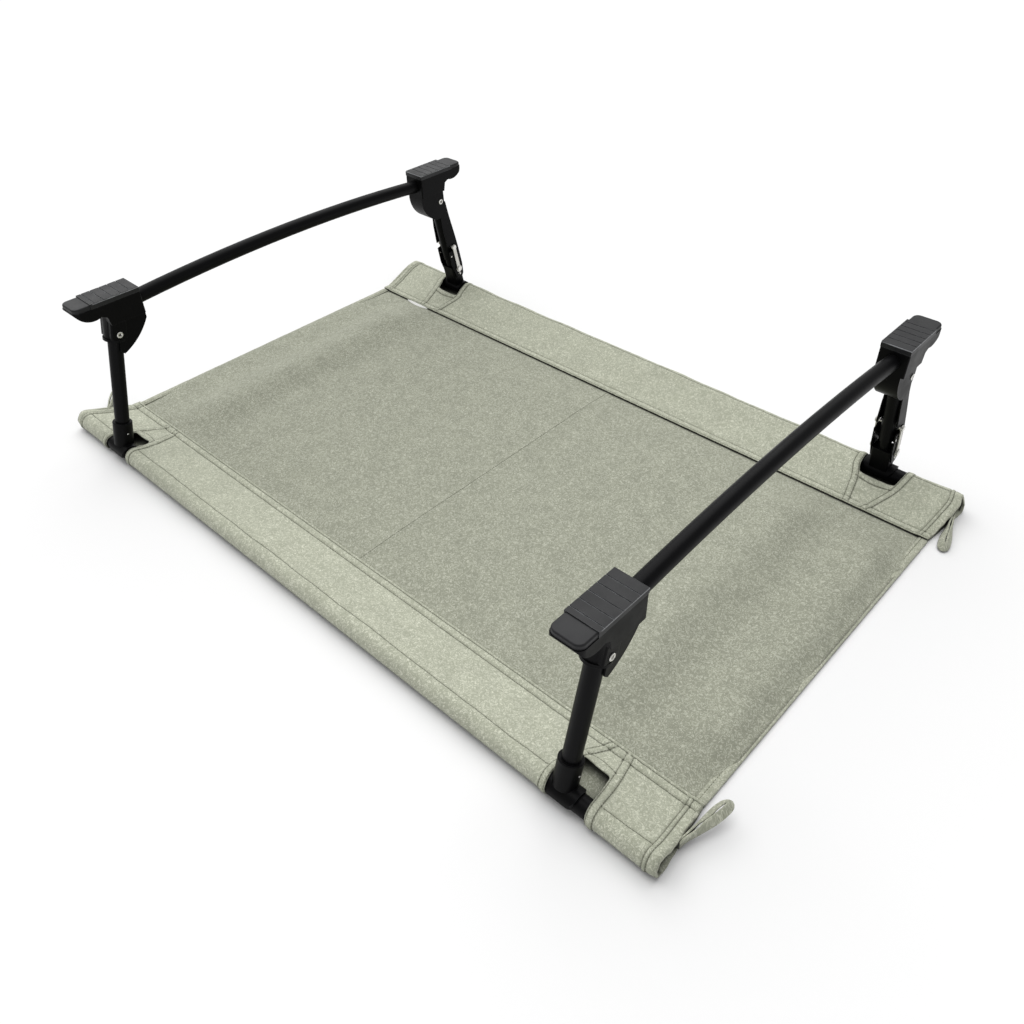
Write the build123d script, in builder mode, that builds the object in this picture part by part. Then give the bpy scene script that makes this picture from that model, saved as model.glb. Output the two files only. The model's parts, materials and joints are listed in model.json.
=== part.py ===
"""Elevated dog bed with two clip-on leg frames, lying on its sleeping face, legs up.

The cloth deck is held wide by two side poles in hemmed sleeves.  At each end a
bowed pole joins two feet; a plain leg clips over the near side pole, and a leg
with an over-centre lever clips over the far one and stretches the cloth.

Frame: +X along the bed, +Y towards the lever side, +Z up to the foot soles.
The origin is on the floor under the middle of the bed.  Millimetres.
"""

from build123d import *
import os
from math import asin, atan2, cos, degrees, hypot, radians, sin, sqrt

# ---- overall sizes ---------------------------------------------------------
deck_length = 880.0             # cloth deck, hem to hem
side_pole_spacing = 568.0       # centre to centre
sole_height = 205.0             # foot soles above the floor
leg_inset = 91.0                # leg frames in from the end hems

# ---- cloth -----------------------------------------------------------------
cloth = 1.4                     # folded and coated cloth, one layer
sleeve_wide = 68.0              # inner seam of a sleeve to its pole's axis
seam_strip = 9.0                # the two layers stitched together
fold_gap = 0.2                  # between the layers where they lie together
sleeve_flare = 9.0              # sleeve ends run out past the hem at the pole
cloth_gap = 0.3                 # pole to cloth
cutout_deep = 32.0              # leg cut-out, in from the pole's axis
cutout_inner_half = 15.0
cutout_outer_half = 25.0
cutout_corner = 7.0
hem_width = 10.0
hem_thick = 1.2
loop_long = 47.0
loop_wide = 8.6
loop_strip = 1.3
loop_tall = 8.0
loop_out = 9.2                  # root of the loop past the end hem
loop_in = 34.0                  # root of the loop in from the pole's axis
loop_lean = 13.2                # degrees off the deck's end edge
loop_tail = 12.0                # strip tucked into the open sleeve
loop_lift = 0.2                 # off the floor
tag_long = 44.0
tag_wide = 7.0
tag_thick = 0.8
tag_inset = 77.0                # tag centre from the hem

# ---- poles -----------------------------------------------------------------
side_pole_d = 18.0
side_pole_wall = 1.0
cap_flange = 4.0
cap_plug = 12.0
ferrule_long = 50.0
ferrule_wall = 1.0
shock_cord_d = 3.0
knot_d = 7.0
knot_long = 2.5
knot_room = 0.5
leg_tube_d = 16.5
leg_tube_wall = 1.2
bow_pole_d = 16.5
bow_pole_wall = 1.2
bow_rise = 9.0                  # middle of the bow above its ends
bow_seat = 24.0                 # bow pole inside the foot

# ---- feet ------------------------------------------------------------------
foot_long = 78.0
foot_width = 31.5
foot_behind_rivet = 36.0        # inner face of the foot to the hub rivet
sole_thick = 6.0
sole_round = 1.5
tongue_long = 20.0
tongue_corner = 7.0
tongue_inset = 0.7              # tongue in from the housing, all round
tongue_round = 1.8
housing_deep = 26.0             # hard housing under the sole
housing_long = 44.0
housing_round = 1.5
prow_low = 12.0                 # underside of the prow at the box
groove_pitch = 10.3
groove_first = 11.0
groove_wide = 0.9
groove_deep = 0.9
bow_axis_below_sole = 18.5      # bow pole axis at the foot's inner face

# ---- legs ------------------------------------------------------------------
rivet_inset = 34.0              # hub rivet in from the side pole axis
rivet_below_sole = 47.0
rivet_d = 4.0
rivet_bore = 2.4
rivet_head_d = 7.0
rivet_head = 1.0
hub_wall = 2.1
hub_drop = 25.0                 # lowest point of a hub below its rivet
socket_wall = 3.45
socket_reach = 9.0              # socket rim below the rivet
rim_tall = 3.0
rim_proud = 1.2
tube_above_rivet = 14.0
saddle_wall = 2.4
saddle_long = 36.0
saddle_corner = 7.0
neck_sunk = 3.0                 # collar and block run into the saddle
collar_wall = 2.95
collar_tall = 29.2              # rim above the top of the side pole
near_tube_stop = 8.2            # tube end above the top of the side pole
clip_pin_d = 2.4
clip_pin_above_pole = 16.2
clip_pin_proud = 0.3

# ---- lever, links and telescoping clip of the far leg ----------------------
lever_pin_above_pole = 18.0      # above the top of the side pole
lever_pin_d = 5.0
lever_line = 2.0                # the three pivots lie this far outside the axis
crank = 9.0                     # lever pin to link rivet
link_long = 38.0                # link rivet to link pin
lever_wall = 1.5
lever_top = 6.0                 # top edge below the hub rivet
lever_flare = 2.85              # each cheek runs out towards its foot
lever_crown = 1.2               # the web stands off towards its foot
lever_end_r = 7.5
web_above_pin = 13.0            # lower edge of the web above the lever pin
far_tube_above_pin = 26.0
stem_above_pin = 36.5           # stem of the clip, inside the tube
flare_above_pin = 41.0          # the cheeks reach their full width here
block_deep = 17.0
block_corner = 2.5
link_thick = 1.5
link_bar = 5.8
link_eye_rim = 0.9
link_lobe_d = 10.0
link_pin_d = 4.0
link_rivet_d = 3.0
link_slack = 1.35               # the open pivot's eye, radial
stud_d = 2.6
stud_above_pin = 34.0
stud_line = -5.5
stud_proud = 0.3
pin_head = 1.0
link_pin_head_d = 6.4
link_rivet_head_d = 7.5

# ---- clearances ------------------------------------------------------------
seat = 0.05                     # fixed round seats, radial
running = 0.05                  # turning and sliding round fits, radial
saddle_gap = 0.3                # saddle to side pole, radial
side_gap = 0.4                  # flat faces that pass each other
head_gap = 0.2                  # rivet heads to the links

# ---- derived ---------------------------------------------------------------
deck_half = deck_length / 2
leg_x = deck_half - leg_inset
pole_y = side_pole_spacing / 2
pole_r = side_pole_d / 2
pole_z = cloth + cloth_gap + pole_r
sleeve_inner_r = pole_r + cloth_gap
sleeve_outer_r = sleeve_inner_r + cloth
seam_y = pole_y - sleeve_wide
rivet_y = pole_y - rivet_inset
rivet_z = sole_height - rivet_below_sole
foot_y = rivet_y - foot_behind_rivet
leg_lean = atan2(rivet_inset, rivet_z - pole_z)
leg_reach = hypot(rivet_inset, rivet_z - pole_z)
housing_top = sole_height - sole_thick
housing_low = housing_top - housing_deep
leg_tube_r = leg_tube_d / 2
bow_end_z = sole_height - bow_axis_below_sole
bow_radius = (foot_y**2 + bow_rise**2) / (2 * bow_rise)
bow_slope = asin(foot_y / bow_radius)
saddle_inner_r = pole_r + saddle_gap
saddle_outer_r = saddle_inner_r + saddle_wall
saddle_top = leg_reach - saddle_outer_r
collar_d = leg_tube_d + 2 * collar_wall
pole_top = leg_reach - pole_r
collar_top = pole_top - collar_tall
near_tube_end = pole_top - near_tube_stop
clip_pin_at = pole_top - clip_pin_above_pole
lever_half_top = leg_tube_r + side_gap + lever_wall
lever_half_low = lever_half_top + lever_flare
lever_web = leg_tube_r + side_gap + lever_wall
hub_half = lever_half_top + side_gap + hub_wall
socket_d = leg_tube_d + 2 * socket_wall
lever_pin_at = pole_top - lever_pin_above_pole
link_rivet_at = lever_pin_at - crank
link_pin_at = link_rivet_at - link_long
web_end = lever_pin_at - web_above_pin
link_in = lever_half_low + side_gap
link_out = link_in + link_thick
head_in = link_out + head_gap
ENDS = {"left": -1, "right": 1}
SIDES = {"near": -1, "far": 1}


def cross_plane(x, side):
    """Upright plane across the bed: first axis outward, second up."""
    return Plane(origin=(x, 0, 0), x_dir=(0, side, 0), z_dir=(side, 0, 0))


def leg_plane(x, side, along=0.0):
    """Plane square to a leg, `along` millimetres from its hub rivet."""
    down = Vector(0, side * sin(leg_lean), -cos(leg_lean))
    origin = Vector(x, side * rivet_y, rivet_z) + down * along
    return Plane(origin=origin, x_dir=(-side, 0, 0), z_dir=down)


def leg_side_plane(x, side):
    """Plane through a leg's axis: first axis down the leg, second outward."""
    down = (0, side * sin(leg_lean), -cos(leg_lean))
    return Plane(origin=(x, side * rivet_y, rivet_z), x_dir=down, z_dir=(side, 0, 0))


def leg_front_plane(x, side, out):
    """Plane facing out of a leg: first axis down the leg, second across it."""
    down = Vector(0, side * sin(leg_lean), -cos(leg_lean))
    outward = Vector(0, side * cos(leg_lean), sin(leg_lean))
    origin = Vector(x, side * rivet_y, rivet_z) + outward * out
    return Plane(origin=origin, x_dir=down, z_dir=outward)


def bow_plane(x, side, along=0.0):
    """Plane square to the end of the bow pole, at a foot's inner face."""
    outward = Vector(0, side * cos(bow_slope), -sin(bow_slope))
    origin = Vector(x, side * foot_y, bow_end_z) + outward * along
    return Plane(origin=origin, x_dir=(1, 0, 0), z_dir=outward)


def keep(piece, name):
    """Label a finished piece and write it as its own STEP file."""
    piece.label = name
    export_step(piece, f"parts/{name}.step")


# ---- deck ------------------------------------------------------------------

def teardrop(plane, radius, start, high):
    """Section of a sleeve: round over the pole, drawn in flat to the seam."""
    reach, climb = pole_y - start, pole_z - high
    span = hypot(reach, climb)
    rise = atan2(climb, reach) + asin(radius / span)
    run = sqrt(span**2 - radius**2)
    shoulder = (start + run * cos(rise), high + run * sin(rise))
    low = pole_z - radius
    with BuildSketch(plane) as section:
        with BuildLine():
            Polyline((pole_y, low), (start, low), (start, high), shoulder)
            ThreePointArc(shoulder, (pole_y + radius, pole_z), (pole_y, low))
        make_face()
    return section.sketch


def make_sleeve(name, side):
    """Folded cloth sleeve round a side pole, cut open for the two legs."""
    plane = cross_plane(0, side)
    tip = deck_half + sleeve_flare
    outer = pole_y + sleeve_outer_r
    past = outer + 1
    cutout_inner = pole_y - cutout_deep
    with BuildPart() as sleeve:
        outside = teardrop(plane, sleeve_outer_r, seam_y, 2 * cloth)
        extrude(outside, amount=tip, both=True)
        inside = teardrop(plane, sleeve_inner_r, seam_y + seam_strip, cloth + fold_gap)
        extrude(inside, amount=tip + 1, both=True, mode=Mode.SUBTRACT)
        with BuildSketch(Plane.XY):
            Polygon(
                (-deck_half, side * seam_y),
                (deck_half, side * seam_y),
                (tip, side * outer),
                (-tip, side * outer),
                align=None,
            )
        extrude(amount=4 * pole_r, mode=Mode.INTERSECT)
        with BuildSketch(Plane.XY.offset(cloth + fold_gap)) as cuts:
            for end in ENDS.values():
                x = end * leg_x
                Polygon(
                    (x - cutout_inner_half, side * cutout_inner),
                    (x + cutout_inner_half, side * cutout_inner),
                    (x + cutout_outer_half, side * past),
                    (x - cutout_outer_half, side * past),
                    align=None,
                )
            ranks = cuts.vertices().group_by(Axis.Y)
            fillet(ranks[0] if side > 0 else ranks[-1], cutout_corner)
        extrude(amount=4 * pole_r, mode=Mode.SUBTRACT)
    keep(sleeve.part, name)


def make_sling():
    """The cloth that the dog lies on, between the two sleeves."""
    with BuildPart() as sling:
        with BuildSketch(Plane.XY):
            Rectangle(deck_length, 2 * seam_y)
        extrude(amount=cloth)
    keep(sling.part, "sling_panel")


def make_end_hem(name, end):
    """Folded and stitched strip along one end of the sling."""
    with BuildPart() as hem:
        with BuildSketch(Plane.XY.offset(cloth)):
            with Locations((end * (deck_length - hem_width) / 2, 0)):
                Rectangle(hem_width, 2 * seam_y)
        extrude(amount=hem_thick)
    keep(hem.part, name)


def make_pull_loop(name, end, side):
    """Narrow folded strip that sticks out of the corner of the sleeve."""
    root = Vector(end * (deck_half + loop_out), side * (pole_y - loop_in))
    lean = radians(loop_lean)
    along = Vector(end * sin(lean), -side * cos(lean))
    middle = root + along * (loop_long / 2)
    turn = degrees(atan2(along.Y, along.X))
    tail_at = root.X - end * (loop_tail / 2 + loop_wide / 2 - loop_strip)
    with BuildPart() as loop:
        with BuildSketch(Plane.XY.offset(loop_lift)):
            with Locations(Location((middle.X, middle.Y, 0), (0, 0, turn))):
                SlotOverall(loop_long, loop_wide)
                hole = (loop_long - 2 * loop_strip, loop_wide - 2 * loop_strip)
                SlotOverall(*hole, mode=Mode.SUBTRACT)
        extrude(amount=loop_tall)
        with BuildSketch(Plane.XY.offset(cloth + fold_gap / 2)):
            with Locations((tail_at, root.Y)):
                Rectangle(loop_tail, loop_tall)
        extrude(amount=loop_strip)
    keep(loop.part, name)


def make_blank_tag():
    """Small blank woven label sewn under the far sleeve's inner edge."""
    with BuildPart() as tag:
        with BuildSketch(Plane.XY.offset(cloth)):
            with Locations((tag_inset - deck_half, seam_y - tag_wide / 2)):
                Rectangle(tag_long, tag_wide)
        extrude(amount=tag_thick)
    keep(tag.part, "blank_tag")


# ---- side poles ------------------------------------------------------------

def pole_plane(x, side):
    """Plane square to a side pole."""
    return Plane(origin=(x, side * pole_y, pole_z), x_dir=(0, 1, 0), z_dir=(1, 0, 0))


def make_side_pole(row, side):
    """Three sections plugged together with ferrules on a shock cord."""
    half = deck_half - cap_flange
    section_long = 2 * half / 3
    bore_r = pole_r - side_pole_wall
    names = ("left", "middle", "right")
    for place, label in zip((-1, 0, 1), names):
        with BuildPart() as section:
            with BuildSketch(pole_plane((place - 0.5) * section_long, side)):
                Circle(pole_r)
                Circle(bore_r, mode=Mode.SUBTRACT)
            extrude(amount=section_long)
        keep(section.part, f"{row}_pole_{label}_section")

    with BuildPart() as ferrules:
        for joint in (-0.5, 0.5):
            with BuildSketch(pole_plane(joint * section_long - ferrule_long / 2, side)):
                Circle(bore_r - seat)
                Circle(bore_r - seat - ferrule_wall, mode=Mode.SUBTRACT)
            extrude(amount=ferrule_long)
    keep(ferrules.part, f"{row}_pole_ferrules")

    knot_pocket = knot_long + knot_room
    with BuildPart() as caps:
        for end in (-1, 1):
            with BuildSketch(pole_plane(end * half, side)):
                Circle(pole_r)
            extrude(amount=end * cap_flange)
            with BuildSketch(pole_plane(end * half, side)):
                Circle(bore_r - seat)
            extrude(amount=-end * cap_plug)
            with BuildSketch(pole_plane(end * (half + cap_flange), side)):
                Circle(knot_d / 2 + knot_room)
            extrude(amount=-end * knot_pocket, mode=Mode.SUBTRACT)
            with BuildSketch(pole_plane(end * (half + cap_flange), side)):
                Circle(shock_cord_d / 2 + seat)
            extrude(amount=-end * (cap_flange + cap_plug), mode=Mode.SUBTRACT)
    keep(caps.part, f"{row}_pole_end_caps")

    knot_at = half + cap_flange - knot_pocket
    with BuildPart() as cord:
        with BuildSketch(pole_plane(-knot_at, side)):
            Circle(shock_cord_d / 2)
        extrude(amount=2 * knot_at)
        for end in (-1, 1):
            with BuildSketch(pole_plane(end * knot_at, side)):
                Circle(knot_d / 2)
            extrude(amount=end * knot_long)
    keep(cord.part, f"{row}_pole_shock_cord")


# ---- feet and hubs ---------------------------------------------------------

def foot_outline(x, side, height, width, inner, outer, corner):
    """Plan of a foot layer, square at the inner end and rounded at the tip."""
    with BuildSketch(Plane.XY.offset(height)) as plan:
        with Locations((x, side * (inner + outer) / 2)):
            Rectangle(width, outer - inner)
        ranks = plan.vertices().group_by(Axis.Y)
        fillet(ranks[-1] if side > 0 else ranks[0], corner)
    return plan.sketch


def make_housing(x, side):
    """Hard shell of the foot: deep box at the bow pole, prow under the tongue."""
    tip = foot_y + foot_long
    box_end = foot_y + housing_long
    draft = 2.0
    heel = 3.0
    prow_end = (box_end + 2 * heel, housing_top - prow_low)
    prow_middle = (tip - prow_low * 0.4, housing_top - prow_low * 0.6)
    with BuildPart() as housing:
        with BuildSketch(cross_plane(x, side)):
            with BuildLine():
                Polyline(
                    (box_end - draft, housing_low),
                    (foot_y, housing_low),
                    (foot_y, housing_top),
                    (tip, housing_top),
                )
                prow = ThreePointArc((tip, housing_top), prow_middle, prow_end)
                Polyline(
                    prow @ 1,
                    (box_end, housing_top - prow_low - heel),
                    (box_end - draft, housing_low),
                )
            make_face()
        extrude(amount=foot_width / 2, both=True)
        plan = foot_outline(x, side, housing_low, foot_width, foot_y, tip, tongue_corner)
        extrude(plan, amount=housing_deep, mode=Mode.INTERSECT)
        corners = housing.edges().filter_by(Axis.Z).group_by(Axis.Y)
        fillet(corners[0] if side > 0 else corners[-1], housing_round)
    return housing.part


def bore_hub(x, side):
    """Holes that every hub has: the leg tube, the bow pole and the rivet."""
    past = 2.0
    with BuildPart() as holes:
        with BuildSketch(leg_plane(x, side, -tube_above_rivet)):
            Circle(leg_tube_r + seat)
        extrude(amount=tube_above_rivet + 2 * hub_drop)
        with BuildSketch(bow_plane(x, side, -past)):
            Circle(bow_pole_d / 2 + seat)
        extrude(amount=bow_seat + past)
        with BuildSketch(Plane.YZ.offset(x)):
            with Locations((side * rivet_y, rivet_z)):
                Circle(rivet_d / 2 + seat)
        extrude(amount=hub_half + 1, both=True)
    return holes.part


def make_near_hub(name, x, side):
    """Foot housing with a round socket and a curved hollow gusset."""
    gusset_lip = 8.0
    gusset_wall = 2.6
    gusset_low = rivet_z - hub_drop
    gusset_in = foot_y - 1
    sunk = housing_low + 6
    socket_top = 20.0
    rim = (gusset_in, housing_low - gusset_lip)
    toe = (rivet_y, gusset_low)
    belly = ((rim[0] + toe[0]) / 2 - 2.6, (rim[1] + toe[1]) / 2 - 3.0)
    with BuildPart() as hub:
        with BuildSketch(cross_plane(x, side)):
            with BuildLine():
                edge = ThreePointArc(rim, belly, toe)
                Polyline(
                    edge @ 1,
                    (rivet_y + 4, gusset_low + 4),
                    (rivet_y, rivet_z + 2),
                    (rivet_y, sunk),
                    (gusset_in, sunk),
                    edge @ 0,
                )
            make_face()
        extrude(amount=hub_half - hub_wall, both=True)
        with BuildSketch(cross_plane(x, side)):
            with BuildLine():
                inner = ThreePointArc(
                    (rim[0] + gusset_wall, rim[1] + 1),
                    (belly[0] + gusset_wall * 0.7, belly[1] + gusset_wall * 0.7),
                    (toe[0] + gusset_wall, gusset_low - 0.5),
                )
                Polyline(
                    inner @ 1,
                    (rivet_y + socket_d / 2, gusset_low - 0.5),
                    (rivet_y + socket_d / 2, housing_low),
                    (rim[0] + gusset_wall, housing_low),
                    inner @ 0,
                )
            make_face()
        extrude(amount=leg_tube_r + side_gap, both=True, mode=Mode.SUBTRACT)
        add(make_housing(x, side))
        with BuildSketch(leg_plane(x, side, -socket_top)):
            Circle(socket_d / 2)
        extrude(amount=socket_top + socket_reach)
        with BuildSketch(leg_plane(x, side, -socket_top)):
            RectangleRounded(2 * hub_half, socket_d - 2 * hub_wall, hub_wall)
        extrude(amount=socket_top + socket_reach - rim_tall - 1)
        with BuildSketch(leg_plane(x, side, socket_reach - rim_tall)):
            Circle(socket_d / 2 + rim_proud)
        extrude(amount=rim_tall)
        add(bore_hub(x, side), mode=Mode.SUBTRACT)
    keep(hub.part, name)


def make_far_hub(name, x, side):
    """Foot housing with two cheeks and a curved web, open outward for the lever."""
    toe = rivet_y - 8.5
    low = rivet_z - hub_drop + 1
    back = foot_y + housing_long - 2
    sunk = housing_low + 1
    seat_low = rivet_z + 4
    belly = housing_low - 22
    with BuildPart() as hub:
        with BuildSketch(cross_plane(x, side)):
            with BuildLine():
                front = ThreePointArc((foot_y, sunk), (foot_y + 6, belly), (toe, low))
                Polyline(
                    front @ 1,
                    (rivet_y + 1, low),
                    (rivet_y + 7, rivet_z - 2),
                    (back, sunk),
                    front @ 0,
                )
            make_face()
        extrude(amount=hub_half, both=True)
        with BuildSketch(cross_plane(x, side)):
            with BuildLine():
                inner = ThreePointArc(
                    (foot_y + 3, seat_low),
                    (foot_y + 10.5, belly + 0.5),
                    (toe + 2.5, low - 1),
                )
                Polyline(
                    inner @ 1,
                    (back + 9, low - 1),
                    (back + 9, seat_low),
                    inner @ 0,
                )
            make_face()
        extrude(amount=hub_half - hub_wall, both=True, mode=Mode.SUBTRACT)
        add(make_housing(x, side))
        add(bore_hub(x, side), mode=Mode.SUBTRACT)
    keep(hub.part, name)


def make_sole(name, x, side):
    """Rubber sole: cross grooves, then a smooth rounded tongue a little lower."""
    tip = foot_y + foot_long
    ribbed_end = tip - tongue_long
    with BuildPart() as sole:
        with BuildSketch(Plane.XY.offset(housing_top)):
            with Locations((x, side * (foot_y + ribbed_end) / 2)):
                Rectangle(foot_width, ribbed_end - foot_y)
        extrude(amount=sole_thick)
        edges = sole.faces().sort_by(Axis.Z)[-1].edges().sort_by(Axis.Y)
        fillet(edges[0] if side > 0 else edges[-1], sole_round)
        width = foot_width - 2 * tongue_inset
        end = tip - tongue_inset
        tongue = foot_outline(x, side, housing_top, width, ribbed_end - 1, end, tongue_corner)
        extrude(tongue, amount=sole_thick - groove_deep)
        count = 1 + int((ribbed_end - foot_y - groove_first) / groove_pitch)
        level = sole_height - groove_deep
        with BuildSketch(Plane.XY.offset(level)):
            for index in range(count):
                across = foot_y + groove_first + index * groove_pitch
                with Locations((x, side * across)):
                    Rectangle(2 * foot_width, groove_wide)
        extrude(amount=sole_thick, mode=Mode.SUBTRACT)
        tops = sole.faces().filter_by(lambda face: abs(face.center().Z - level) < 0.01)
        tongue_top = tops.sort_by(SortBy.AREA)[-1]
        fillet(tongue_top.edges().filter_by(GeomType.CIRCLE), tongue_round)
    keep(sole.part, name)


def make_hub_rivet(name, x, side):
    """Tubular steel rivet through the hub cheeks and the leg tube."""
    with BuildPart() as rivet:
        with BuildSketch(Plane.YZ.offset(x)) as shank:
            with Locations((side * rivet_y, rivet_z)):
                Circle(rivet_d / 2)
                Circle(rivet_bore / 2, mode=Mode.SUBTRACT)
        extrude(amount=hub_half + rivet_head, both=True)
        for face in (-1, 1):
            with BuildSketch(Plane.YZ.offset(x + face * hub_half)):
                with Locations((side * rivet_y, rivet_z)):
                    Circle(rivet_head_d / 2)
                    Circle(rivet_bore / 2, mode=Mode.SUBTRACT)
            extrude(amount=face * rivet_head)
    keep(rivet.part, name)


def make_bow_pole(name, x):
    """Sprung pole that joins the two feet, bowed away from the deck."""
    top = bow_end_z + bow_rise
    ends = []
    for side in (-1, 1):
        plane = bow_plane(x, side)
        ends.append((plane.origin, plane.origin + plane.z_dir * bow_seat))
    with BuildPart() as pole:
        with BuildLine() as path:
            Line(ends[0][1], ends[0][0])
            ThreePointArc(ends[0][0], (x, 0, top), ends[1][0])
            Line(ends[1][0], ends[1][1])
        with BuildSketch(bow_plane(x, -1, bow_seat)):
            Circle(bow_pole_d / 2)
            Circle(bow_pole_d / 2 - bow_pole_wall, mode=Mode.SUBTRACT)
        sweep(path=path.wires()[0])
    keep(pole.part, name)


# ---- near leg --------------------------------------------------------------

def leg_tube(x, side, end_at):
    """Black leg tube from its hub down the leg, drilled for the hub rivet."""
    with BuildPart() as tube:
        with BuildSketch(leg_plane(x, side, -tube_above_rivet)):
            Circle(leg_tube_r)
            Circle(leg_tube_r - leg_tube_wall, mode=Mode.SUBTRACT)
        extrude(amount=tube_above_rivet + end_at)
        with BuildSketch(Plane.YZ.offset(x)):
            with Locations((side * rivet_y, rivet_z)):
                Circle(rivet_d / 2 + seat)
        extrude(amount=leg_tube_d, both=True, mode=Mode.SUBTRACT)
    return tube.part


def cross_bar(x, side, along, out, diameter, reach):
    """Round bar along X, to drill a pin hole through a leg."""
    with BuildPart() as bar:
        with BuildSketch(leg_side_plane(x, side)):
            with Locations((along, out)):
                Circle(diameter / 2)
        extrude(amount=reach, both=True)
    return bar.part


def make_saddle(x, side):
    """Half-round saddle that sits over a side pole."""
    with BuildPart() as saddle:
        with BuildSketch(cross_plane(x, side)):
            with Locations((pole_y, pole_z)):
                Circle(saddle_outer_r)
                Circle(saddle_inner_r, mode=Mode.SUBTRACT)
            with Locations((pole_y, pole_z)):
                half = (2 * saddle_outer_r, saddle_outer_r)
                Rectangle(*half, align=(Align.CENTER, Align.MIN), mode=Mode.INTERSECT)
        extrude(amount=saddle_long / 2, both=True)
        with BuildSketch(Plane.XY.offset(pole_z)):
            with Locations((x, side * pole_y)):
                RectangleRounded(saddle_long, 2 * saddle_outer_r, saddle_corner)
        extrude(amount=saddle_outer_r, mode=Mode.INTERSECT)
    return saddle.part


def hollow_for_pole(x, side):
    """Bar with the saddle's inner radius, to clear a neck off the side pole."""
    with BuildPart() as bar:
        with BuildSketch(cross_plane(x, side)):
            with Locations((pole_y, pole_z)):
                Circle(saddle_inner_r)
        extrude(amount=saddle_long, both=True)
    return bar.part


def make_near_leg(end_name, x, side):
    """Plain tube with a T-shaped clip over the near side pole."""
    tube = leg_tube(x, side, near_tube_end)
    with BuildPart() as drilled:
        add(tube)
        hole = cross_bar(x, side, clip_pin_at, 0, clip_pin_d + 2 * seat, collar_d)
        add(hole, mode=Mode.SUBTRACT)
    keep(drilled.part, f"{end_name}_near_leg_tube")

    with BuildPart() as clip:
        with BuildSketch(leg_plane(x, side, collar_top)):
            Circle(collar_d / 2)
        extrude(amount=saddle_top + neck_sunk - collar_top)
        chamfer(clip.edges().filter_by(GeomType.CIRCLE).sort_by(Axis.Z)[-1], 0.8)
        add(make_saddle(x, side))
        add(hollow_for_pole(x, side), mode=Mode.SUBTRACT)
        with BuildSketch(leg_plane(x, side, collar_top - 1)):
            Circle(leg_tube_r + seat)
        extrude(amount=near_tube_end + 1 - collar_top, mode=Mode.SUBTRACT)
        hole = cross_bar(x, side, clip_pin_at, 0, clip_pin_d + 2 * seat, collar_d)
        add(hole, mode=Mode.SUBTRACT)
    keep(clip.part, f"{end_name}_near_clip")

    with BuildPart() as pin:
        with BuildSketch(leg_side_plane(x, side)):
            with Locations((clip_pin_at, 0)):
                Circle(clip_pin_d / 2)
        extrude(amount=collar_d / 2 + clip_pin_proud, both=True)
    keep(pin.part, f"{end_name}_near_clip_pin")


# ---- far leg ---------------------------------------------------------------

def lever_width(at, wall):
    """Half width of the lever inside `wall`, from its narrow top to its foot."""
    start = lever_top + 24
    end = lever_pin_at - flare_above_pin
    blend = min(max((at - start) / (end - start), 0), 1)
    return lever_half_top + lever_flare * blend - wall


def lever_block(x, side, profile, wall, past):
    """Tapered block between a side profile and the lever's front outline."""
    low = lever_pin_at + lever_end_r + past
    taper_start = lever_top + 24
    taper_end = lever_pin_at - flare_above_pin
    with BuildPart() as block:
        with BuildSketch(leg_side_plane(x, side)):
            Polygon(*profile, align=None)
            with Locations((lever_pin_at, lever_line)):
                Circle(lever_end_r + past)
        extrude(amount=lever_half_low, both=True)
        stations = (lever_top - past, taper_start, taper_end, low)
        right = [(at, lever_width(at, wall)) for at in stations]
        left = [(at, -half) for at, half in reversed(right)]
        with BuildSketch(leg_front_plane(x, side, -2 * collar_d)):
            Polygon(*right, *left, align=None)
        extrude(amount=4 * collar_d, mode=Mode.INTERSECT)
    return block.part


def make_lever(name, x, side):
    """Channel-shaped lever that closes round the leg tube from outside."""
    past = 2.0
    clear = 30.0
    crown_at = lever_top + 54
    cheek_mid = (lever_top + 39, -6.5)
    cheek_low = (lever_pin_at - 19, -8.5)
    crown = lever_web + lever_crown
    outer = [
        (lever_top, -lever_wall),
        cheek_mid,
        cheek_low,
        (lever_pin_at, lever_line - lever_end_r),
        (lever_pin_at, lever_line + lever_end_r),
        (web_end, crown),
        (crown_at, crown),
        (lever_top, lever_web),
    ]
    inner = [
        (lever_top - past, -clear),
        (lever_pin_at + clear, -clear),
        (lever_pin_at + clear, clear),
        (web_end, clear),
        (web_end, crown - lever_wall),
        (crown_at, crown - lever_wall),
        (lever_top - past, lever_web - lever_wall),
    ]
    notch = link_pin_d + 5.0
    with BuildPart() as lever:
        add(lever_block(x, side, outer, 0, 0))
        add(lever_block(x, side, inner, lever_wall, past), mode=Mode.SUBTRACT)
        with BuildSketch(leg_side_plane(x, side)):
            with Locations((link_pin_at, lever_line)):
                Circle(notch / 2)
                Rectangle(notch, clear, align=(Align.CENTER, Align.MAX))
            with Locations((lever_pin_at, lever_line)):
                Circle(lever_pin_d / 2 + running)
            with Locations((link_rivet_at, lever_line)):
                Circle(link_rivet_d / 2 + seat)
            with Locations((lever_pin_at - stud_above_pin, stud_line)):
                Circle(stud_d / 2 + seat)
        extrude(amount=2 * lever_half_low, both=True, mode=Mode.SUBTRACT)
    keep(lever.part, name)


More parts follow.
